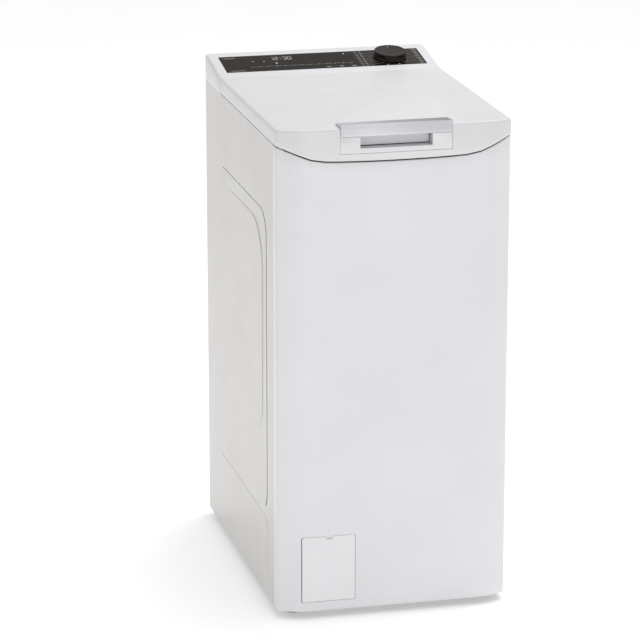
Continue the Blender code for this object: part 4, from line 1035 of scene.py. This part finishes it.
# ---- Control housing, glass and knob -------------------------------------------------------------
def make_housing():
    """Rear cover: sloping fascia with soft sides, a pocket for the glass, hollow below."""
    front_y, rear_y = HOUSING_LOW[1], HOUSING_HIGH[1]
    low = HOUSING_LOW[2]
    edge = SIDE_EDGE
    lip = 2.2 * MM

    def section(inset):
        points = [(front_y, low), (front_y, LID_TOP - lip - 0.3 * MM - inset)]
        for turn in (pi / 6, pi / 3, pi / 2):
            z = LID_TOP - 0.3 * MM - lip * (1 - sin(turn)) - inset
            points.append((front_y + lip * (1 - cos(turn)), z))
        rise_y = FASCIA_START_Y + 5 * MM
        points.append((FASCIA_START_Y + 2 * MM, LID_TOP + 0.1 * MM - inset))
        points.append((rise_y, fascia_height(rise_y) - inset))
        back = rear_y - edge
        for y in (0.172, 0.20, 0.23, 0.26):
            points.append((y, fascia_height(y) - inset))
        peak = fascia_height(back)
        for turn in (0, pi / 8, pi / 4, 3 * pi / 8, pi / 2):
            shrink = max(edge - inset, 0.5 * MM)
            points.append((back + shrink * sin(turn), peak - edge + shrink * cos(turn)))
        points += [(rear_y - inset, peak - edge - 8 * MM), (rear_y - inset, low)]
        return points

    half = HALF_WIDTH
    rings = []
    steps = 8
    for step in range(steps + 1):
        turn = pi / 2 * step / steps
        x, inset = half - edge + edge * cos(turn), edge * (1 - sin(turn))
        rings.append([(x, y, z) for y, z in section(inset)])
    rings += [[(-x, y, z) for (x, y, z) in ring] for ring in reversed(rings)]
    housing = new_piece("control_housing_cover", WHITE_ABS, loft(rings), 45)
    inner_front, inner_rear = front_y + 2.5 * MM, rear_y - 2.5 * MM
    inner = [
        (inner_front, low - 0.01), (inner_front, LID_TOP - 5 * MM), (0.270, fascia_height(0.270) - 5 * MM),
        (inner_rear, 0.862), (inner_rear, low - 0.01),
    ]
    reach = half - 2.5 * MM
    hollow = new_piece("hollow", WHITE_ABS, loft([[(x, y, z) for y, z in inner] for x in (-reach, reach)]))
    clear = 0.4 * MM
    length = GLASS_HALF_LENGTH + clear
    pocket = stamp((-GLASS_HALF - clear, -length, -3.0 * MM), (GLASS_HALF + clear, length, 0.02), 0.0)
    window = stamp((-0.172, -0.033, -0.02), (0.172, 0.033, 0.0))
    for cutter in (pocket, window):
        cutter.location = on_fascia(0.0, GLASS_MIDDLE_Y)
        cutter.rotation_euler = (FASCIA_SLOPE, 0.0, 0.0)
    carve(housing, [hollow, pocket, window], 40)
    belongs(housing, "cabinet", "control_housing")


def make_glass():
    """Control glass with ground edges."""
    low = (-GLASS_HALF, -GLASS_HALF_LENGTH, -2.6 * MM)
    high = (GLASS_HALF, GLASS_HALF_LENGTH, 0.0)
    glass = rounded_box("control_glass_panel", GLASS, low, high, 0.5 * MM)
    glass.location = on_fascia(0.0, GLASS_MIDDLE_Y)
    glass.rotation_euler = (FASCIA_SLOPE, 0.0, 0.0)
    belongs(glass, "cabinet", "control_glass")


def ink_strokes(name, material, strokes, thickness=0.08 * MM):
    """Flat printed strokes on the glass; each is a list of (x, y) corner points."""
    shape = bmesh.new()
    for stroke in strokes:
        lower = [shape.verts.new(on_fascia(x, y, 0.01 * MM)) for x, y in stroke]
        upper = [shape.verts.new(on_fascia(x, y, thickness)) for x, y in stroke]
        shape.faces.new(upper)
        shape.faces.new(list(reversed(lower)))
        for i in range(len(stroke)):
            after = (i + 1) % len(stroke)
            shape.faces.new((lower[i], lower[after], upper[after], upper[i]))
    obj = new_piece(name, material, shape)
    belongs(obj, "cabinet")
    return obj


def bar_stroke(x, y, width, height):
    left, right = x - width / 2, x + width / 2
    front, back = y - height / 2, y + height / 2
    return [(left, front), (right, front), (right, back), (left, back)]


def dot_stroke(x, y, radius, sides=12):
    angles = [2 * pi * i / sides for i in range(sides)]
    return [(x + radius * cos(angle), y + radius * sin(angle)) for angle in angles]


def line_stroke(x0, y0, x1, y1, width):
    length = sqrt((x1 - x0) ** 2 + (y1 - y0) ** 2)
    side_x, side_y = -(y1 - y0) / length * width / 2, (x1 - x0) / length * width / 2
    return [
        (x0 + side_x, y0 + side_y), (x0 - side_x, y0 - side_y),
        (x1 - side_x, y1 - side_y), (x1 + side_x, y1 + side_y),
    ]


SEGMENTS = {
    "0": "abcdef", "1": "bc", "2": "abged", "3": "abgcd",
}


def digit_strokes(figure, x, y, width, height, line):
    """Seven-segment strokes of one figure."""
    left, right = x - width / 2, x + width / 2
    half, quarter = height / 2, height / 4
    places = {
        "a": (x, y + half, width, line), "g": (x, y, width, line), "d": (x, y - half, width, line),
        "f": (left, y + quarter, line, half), "b": (right, y + quarter, line, half),
        "e": (left, y - quarter, line, half), "c": (right, y - quarter, line, half),
    }
    return [bar_stroke(*places[segment]) for segment in SEGMENTS[figure]]


def make_legends():
    """Generic print: a lit time, marks over a scale line, and a dotted programme column."""
    lit = []
    digit_width, digit_height, digit_line = 5.6 * MM, 14.0 * MM, 0.8 * MM
    for figure, x in (("1", -0.0905), ("2", -0.0815), ("3", -0.0665), ("0", -0.0575)):
        lit += digit_strokes(figure, x, 0.2360, digit_width, digit_height, digit_line)
    lit += [dot_stroke(-0.0740, 0.2360 + offset, 0.7 * MM) for offset in (-2.4 * MM, 2.4 * MM)]
    ink_strokes("display_time", DISPLAY, lit)
    ink_strokes("start_mark", LAMP, [dot_stroke(-0.0856, 0.2135, 1.8 * MM)])

    marks = [bar_stroke(-0.126, 0.2260, 3.0 * MM, 1.6 * MM), bar_stroke(-0.106, 0.2250, 3.0 * MM, 1.6 * MM)]
    scale_y = 0.1995
    marks.append(bar_stroke(-0.042, scale_y, 0.182, 0.25 * MM))
    marks += [dot_stroke(-0.133 + 0.0152 * i, scale_y, 0.9 * MM, 8) for i in range(13)]
    marks += [bar_stroke(0.004 + 0.0235 * i, 0.1845, 8.0 * MM, 1.3 * MM) for i in range(3)]
    marks += [dot_stroke(0.0445, 0.2440, 1.6 * MM)]
    ink_strokes("scale_print", INK, marks)

    column_count = 9
    fine = []
    clear = []
    for i in range(column_count):
        y = 0.2485 - 0.0655 * i / (column_count - 1)
        clear.append(dot_stroke(0.0750, y, 1.3 * MM, 8))
        fine.append(bar_stroke(0.0672, y, 7.0 * MM, 1.0 * MM))
        clear.append(bar_stroke(0.1762, y, 8.0 * MM, 1.1 * MM))
        knob_edge = 0.0300
        offset = y - GLASS_MIDDLE_Y
        reach = sqrt(max(knob_edge ** 2 - (offset * 0.75) ** 2, 0.0))
        fine.append(line_stroke(0.0770, y, 0.124 - reach, GLASS_MIDDLE_Y + offset * 0.75, 0.35 * MM))
        fine.append(line_stroke(0.1710, y, 0.124 + reach, GLASS_MIDDLE_Y + offset * 0.75, 0.35 * MM))
    fine += [bar_stroke(-0.166, 0.2470 - 0.0028 * row, 0.026 - 0.006 * row, 0.7 * MM) for row in range(2)]
    fine += [bar_stroke(-0.162, 0.1820 + 0.0028 * row, 0.030 - 0.008 * row, 0.7 * MM) for row in range(2)]
    ink_strokes("fine_print", INK_DIM, fine)
    clear += [bar_stroke(x, 0.1812, 3.4 * MM, 1.6 * MM) for x in (0.1120, 0.1330)]
    ink_strokes("programme_marks", INK, clear)


def make_knob():
    """Programme knob: five wide finger hollows below a round rim, a flat top and a pointer line."""
    hollows = 5
    steps = 120
    low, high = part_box("program_knob")
    radius = (high[0] - low[0]) / 2 - 0.1 * MM
    height = 13.4 * MM
    turned_by = radians(-90 + 36 - 10)

    def ring(base, depth, level):
        points = []
        for i in range(steps):
            turn = 2 * pi * i / steps
            wave = max(0.0, cos(hollows * (turn - turned_by))) ** 1.5
            reach = base - depth * wave
            points.append((reach * cos(turn), reach * sin(turn), level))
        return points

    rings = [
        ring(3.9 * MM, 0.0, -15.9 * MM), ring(3.9 * MM, 0.0, 0.8 * MM),
        ring(radius - 1.2 * MM, 0.0, 0.8 * MM), ring(radius, 0.0, 1.4 * MM),
        ring(radius, 0.4 * MM, 2.2 * MM), ring(radius - 0.2 * MM, 2.2 * MM, 3.2 * MM),
        ring(radius - 0.4 * MM, 3.4 * MM, 5.0 * MM), ring(radius - 0.7 * MM, 3.4 * MM, 8.0 * MM),
        ring(radius - 0.9 * MM, 2.4 * MM, 9.6 * MM), ring(radius - 1.0 * MM, 0.6 * MM, 10.9 * MM),
        ring(radius - 1.1 * MM, 0.0, 11.8 * MM), ring(radius - 1.4 * MM, 0.0, 12.7 * MM),
        ring(radius - 2.1 * MM, 0.0, 13.2 * MM), ring(radius - 3.0 * MM, 0.0, height),
        ring(radius - 4.0 * MM, 0.0, height - 0.1 * MM), ring(radius - 5.0 * MM, 0.0, height - 0.5 * MM),
        ring(radius - 12.0 * MM, 0.0, height - 0.7 * MM), ring(radius - 20.0 * MM, 0.0, height - 0.8 * MM),
    ]
    knob = new_piece("program_knob_cap", CHARCOAL, loft(rings), 50)
    place = Vector(KNOB_JOINT["pos_m"])
    knob.location = place
    knob.rotation_euler = (FASCIA_SLOPE, 0.0, 0.0)
    belongs(knob, "program_knob", "program_knob")
    pointer_low = (-0.45 * MM, 17.0 * MM, height - 0.75 * MM)
    pointer_high = (0.45 * MM, 23.5 * MM, height - 0.35 * MM)
    pointer = rounded_box("knob_pointer", INK_DIM, pointer_low, pointer_high, 0.1 * MM)
    pointer.location = place
    pointer.rotation_euler = (FASCIA_SLOPE, 0.0, 0.0)
    belongs(pointer, "program_knob")


make_housing()
make_glass()
make_legends()
make_knob()


# ---- Pump door -----------------------------------------------------------------------------------
def make_pump_door():
    """Flat flap with softly rounded corners, a coin notch in its top and two snap hinges."""
    low, high = DOOR_LOW, DOOR_HIGH
    corner = 3.0 * MM
    soft = 0.6 * MM
    rings = []
    outline = rounded_ring((low[0], high[0]), (low[2], high[2]), corner, corner, 6)
    centre_x, centre_z = (low[0] + high[0]) / 2, (low[2] + high[2]) / 2
    half_x, half_z = (high[0] - low[0]) / 2, (high[2] - low[2]) / 2
    for y, inset in ((high[1], 0.0), (low[1] + soft, 0.0), (low[1] + soft * 0.3, soft * 0.3), (low[1], soft)):
        rings.append([
            (
                centre_x + (x - centre_x) * (1 - inset / half_x), y,
                centre_z + (z - centre_z) * (1 - inset / half_z),
            )
            for x, z in outline
        ])
    door = new_piece("pump_door_flap", DOOR_ABS, loft(rings), 40)
    notch_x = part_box("pump_filter")[0][0] / 2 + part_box("pump_filter")[1][0] / 2 + 1.0 * MM
    notch_rings = []
    brim, above = high[2], high[2] + 0.01
    for depth_mm, wide_mm, drop_mm in ((-10.0, 8.6, 5.6), (0.2, 8.2, 5.2), (2.0, 5.6, 3.6)):
        y, wide, foot = low[1] + depth_mm * MM, wide_mm * MM, brim - drop_mm * MM
        notch_rings.append([
            (notch_x - wide, y, above), (notch_x - wide, y, brim), (notch_x - wide * 0.75, y, foot),
            (notch_x + wide * 0.75, y, foot), (notch_x + wide, y, brim), (notch_x + wide, y, above),
        ])
    notch = new_piece("notch", WHITE_ABS, loft(notch_rings))
    carve(door, [notch], 40)
    belongs(door, "pump_door", "pump_door")
    for name, z in (("pump_door_hinge_upper", 0.1230), ("pump_door_hinge_lower", 0.0443)):
        points = [(-0.1605, -0.2985, z + 3.5 * MM * step) for step in range(-3, 4)]
        knuckle = tube(name, WHITE_ABS, points, 0.9 * MM)
        belongs(knuckle, "pump_door")


make_pump_door()


# ---- Soft joints between the cabinet and the tub -------------------------------------------------
def make_springs():
    """Close-wound suspension springs, their coils drawn in at each end."""
    for node in ("spring_left", "spring_right"):
        low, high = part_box(node)
        centre_x, centre_y = (low[0] + high[0]) / 2, (low[1] + high[1]) / 2
        wire = 1.6 * MM
        radius = (high[0] - low[0]) / 2 - wire
        turns, per_turn = 14, 18
        count = turns * per_turn
        start, end = low[2] + wire, high[2] - wire
        points = []
        for i in range(count + 1):
            turn = 2 * pi * i / per_turn
            fade = min(1.0, i / per_turn, (count - i) / per_turn)
            reach = radius * (0.35 + 0.65 * fade)
            z = start + (end - start) * i / count
            points.append((centre_x + reach * cos(turn), centre_y + reach * sin(turn), z))
        spring = tube(node + "_coil", ZINC, points, wire, 8)
        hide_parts(node)
        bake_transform(spring)


def make_bellows():
    """Moulded rubber bellows: three folds round the rectangular throat."""
    low, high = BELLOWS_LOW, BELLOWS_HIGH
    folds = 3
    rings = []
    outer_steps = folds * 8
    depth = 6.0 * MM
    wall = 1.6 * MM
    for surface in ("outside", "inside"):
        order = range(outer_steps + 1) if surface == "outside" else range(outer_steps, -1, -1)
        for step in order:
            share = step / outer_steps
            inset = depth * (0.5 - 0.5 * cos(2 * pi * folds * share)) + (wall if surface == "inside" else 0.0)
            z = low[2] + (high[2] - low[2]) * share
            ring_x, ring_y = (low[0] + inset, high[0] - inset), (low[1] + inset, high[1] - inset)
            ring = rounded_ring(ring_x, ring_y, 0.012, 0.012, 6)
            rings.append([(x, y, z) for x, y in ring])
    rings.append(rings[0])
    shape = loft(rings, caps=False)
    bmesh.ops.remove_doubles(shape, verts=shape.verts, dist=0.000001)
    bellows = new_piece("throat_bellows", RUBBER, shape, 60)
    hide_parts("bellows")
    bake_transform(bellows)


def make_sump_hose():
    """Corrugated hose between the sump and the pump, clamped at both ends."""
    low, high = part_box("sump_hose")
    centre = ((low[0] + high[0]) / 2, (low[1] + high[1]) / 2)
    radius = (high[0] - low[0]) / 2
    profile = [(radius - 2.4 * MM, low[2])]
    corrugations = 9
    steps = corrugations * 6
    profile.append((radius - 0.6 * MM, low[2]))
    profile.append((radius - 0.6 * MM, low[2] + 12 * MM))
    for i in range(steps + 1):
        share = i / steps
        z = low[2] + 14 * MM + (high[2] - low[2] - 28 * MM) * share
        profile.append((radius - 1.1 * MM + 1.0 * MM * cos(2 * pi * corrugations * share), z))
    profile.append((radius - 0.6 * MM, high[2] - 12 * MM))
    profile.append((radius - 0.6 * MM, high[2]))
    profile.append((radius - 2.4 * MM, high[2]))
    profile.append((radius - 2.4 * MM, low[2]))
    hose = turned("sump_hose_corrugated", RUBBER, profile, (centre[0], centre[1], 0.0), (0.0, 0.0, 0.0), 32)
    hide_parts("sump_hose")
    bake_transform(hose)
    inside, outside = radius - 0.4 * MM, radius + 0.3 * MM
    clips = (("hose_clip_lower", low[2] + 6 * MM, "cabinet"), ("hose_clip_upper", high[2] - 6 * MM, "tub"))
    for name, z, body in clips:
        band = [
            (inside, -3 * MM), (outside, -3 * MM), (outside, 3 * MM), (inside, 3 * MM), (inside, -3 * MM),
        ]
        clip = turned(name, ZINC, band, (centre[0], centre[1], z), (0.0, 0.0, 0.0), 32)
        belongs(clip, body)


make_springs()
make_bellows()
make_sump_hose()


# ---- Frame solids that stay: softened edges and their own finish ---------------------------------
FINISHES = {
    "top_frame": WHITE_ABS, "base_tray": GREY_ABS, "latch_lever": RECESS_LIT_SILVER,
    "control_board": LAMINATE, "lid_lock": BLACK_ABS, "drain_spigot": BLACK_ABS, "mains_gland": BLACK_ABS,
    "rear_foot_left": BLACK_ABS, "rear_foot_right": BLACK_ABS, "front_foot_left": BLACK_ABS,
    "front_foot_right": BLACK_ABS, "damper_tube_left": BLACK_ABS, "damper_tube_right": BLACK_ABS,
    "transport_cap_left": GREY_ABS, "transport_cap_right": GREY_ABS, "lifter_front": GREY_ABS,
    "lifter_bottom": GREY_ABS, "lifter_rear": GREY_ABS, "dispenser_tray": TRAY_BLUE,
    "inlet_valve": VALVE_WHITE, "drain_pump": PUMP_GREY, "pump_filter": FILTER_BLUE,
    "outer_tub": TUB_GREY, "counterweight_upper": CONCRETE, "counterweight_lower": CONCRETE,
    "drum_shell": PIERCED, "drum_end_left": STAINLESS, "drum_end_right": STAINLESS,
    "drum_flap_front": PIERCED, "drum_flap_rear": PIERCED, "heater": STAINLESS,
    "hinge_bracket_left": ZINC, "hinge_bracket_right": ZINC, "lid_pin_left": ZINC, "lid_pin_right": ZINC,
    "damper_rod_left": ZINC, "damper_rod_right": ZINC, "motor_pulley": ZINC,
    "drum_pulley": CAST, "motor": CAST, "drive_belt": RUBBER,
}
EDGE_SOFTNESS = {
    "top_frame": 1.5, "base_tray": 1.2, "latch_lever": 0.5, "lid_lock": 1.0, "dispenser_tray": 0.7,
    "counterweight_upper": 4.0, "counterweight_lower": 4.0, "outer_tub": 1.2, "inlet_valve": 1.0,
    "lifter_front": 3.0, "lifter_bottom": 3.0, "lifter_rear": 3.0, "motor": 1.5, "drain_pump": 1.0,
    "control_board": 0.2, "drum_shell": 0.3, "drum_flap_front": 0.3, "drum_flap_rear": 0.3,
    "lid_pin_left": 0.2, "lid_pin_right": 0.2, "hinge_bracket_left": 0.3, "hinge_bracket_right": 0.3,
}
for node, material in FINISHES.items():
    solid = NODES[node]
    for material_slot in solid.material_slots:
        material_slot.material = material
    if not solid.material_slots:
        solid.data.materials.append(material)
    soften(solid, EDGE_SOFTNESS.get(node, 0.5) * MM)


# ---- Camera, light and floor ---------------------------------------------------------------------
def make_camera():
    camera_data = bpy.data.cameras.new("camera")
    camera_data.lens = 183.97
    camera_data.sensor_width = 36.0
    camera_data.clip_end = 100.0
    camera = bpy.data.objects.new("camera", camera_data)
    camera.location = (-1.3630, -5.3885, 2.0161)
    heading = Vector((0.22650, 0.93493, -0.27317))
    camera.rotation_euler = heading.to_track_quat("-Z", "Y").to_euler()
    bpy.context.scene.collection.objects.link(camera)
    bpy.context.scene.camera = camera


def make_light(name, place, target, size, watts):
    light_data = bpy.data.lights.new(name, "AREA")
    light_data.shape = "SQUARE"
    light_data.size = size
    light_data.energy = watts
    light = bpy.data.objects.new(name, light_data)
    light.location = place
    light.rotation_euler = (Vector(target) - Vector(place)).to_track_quat("-Z", "Y").to_euler()
    bpy.context.scene.collection.objects.link(light)


def make_studio():
    """Pale floor, a white sky and three soft boxes."""
    world = bpy.data.worlds.new("studio")
    world.use_nodes = True
    background = world.node_tree.nodes["Background"]
    background.inputs["Color"].default_value = (1.0, 1.0, 1.0, 1.0)
    background.inputs["Strength"].default_value = 0.62
    bpy.context.scene.world = world
    bpy.context.scene.view_settings.view_transform = "Standard"
    reach = 40.0
    floor_shape = bmesh.new()
    corners = ((-reach, -reach), (reach, -reach), (reach, reach), (-reach, reach))
    floor_shape.faces.new([floor_shape.verts.new((x, y, 0.0)) for x, y in corners])
    floor = new_piece("studio_floor", studio_floor(), floor_shape)
    middle = (0.0, 0.0, 0.5)
    make_light("key", (1.6, -4.6, 2.6), middle, 2.0, 5.0)
    make_light("fill", (0.5, -5.0, 0.45), middle, 1.6, 24.0)
    make_light("top", (0.9, 0.6, 3.6), middle, 2.0, 56.0)


make_camera()
make_studio()
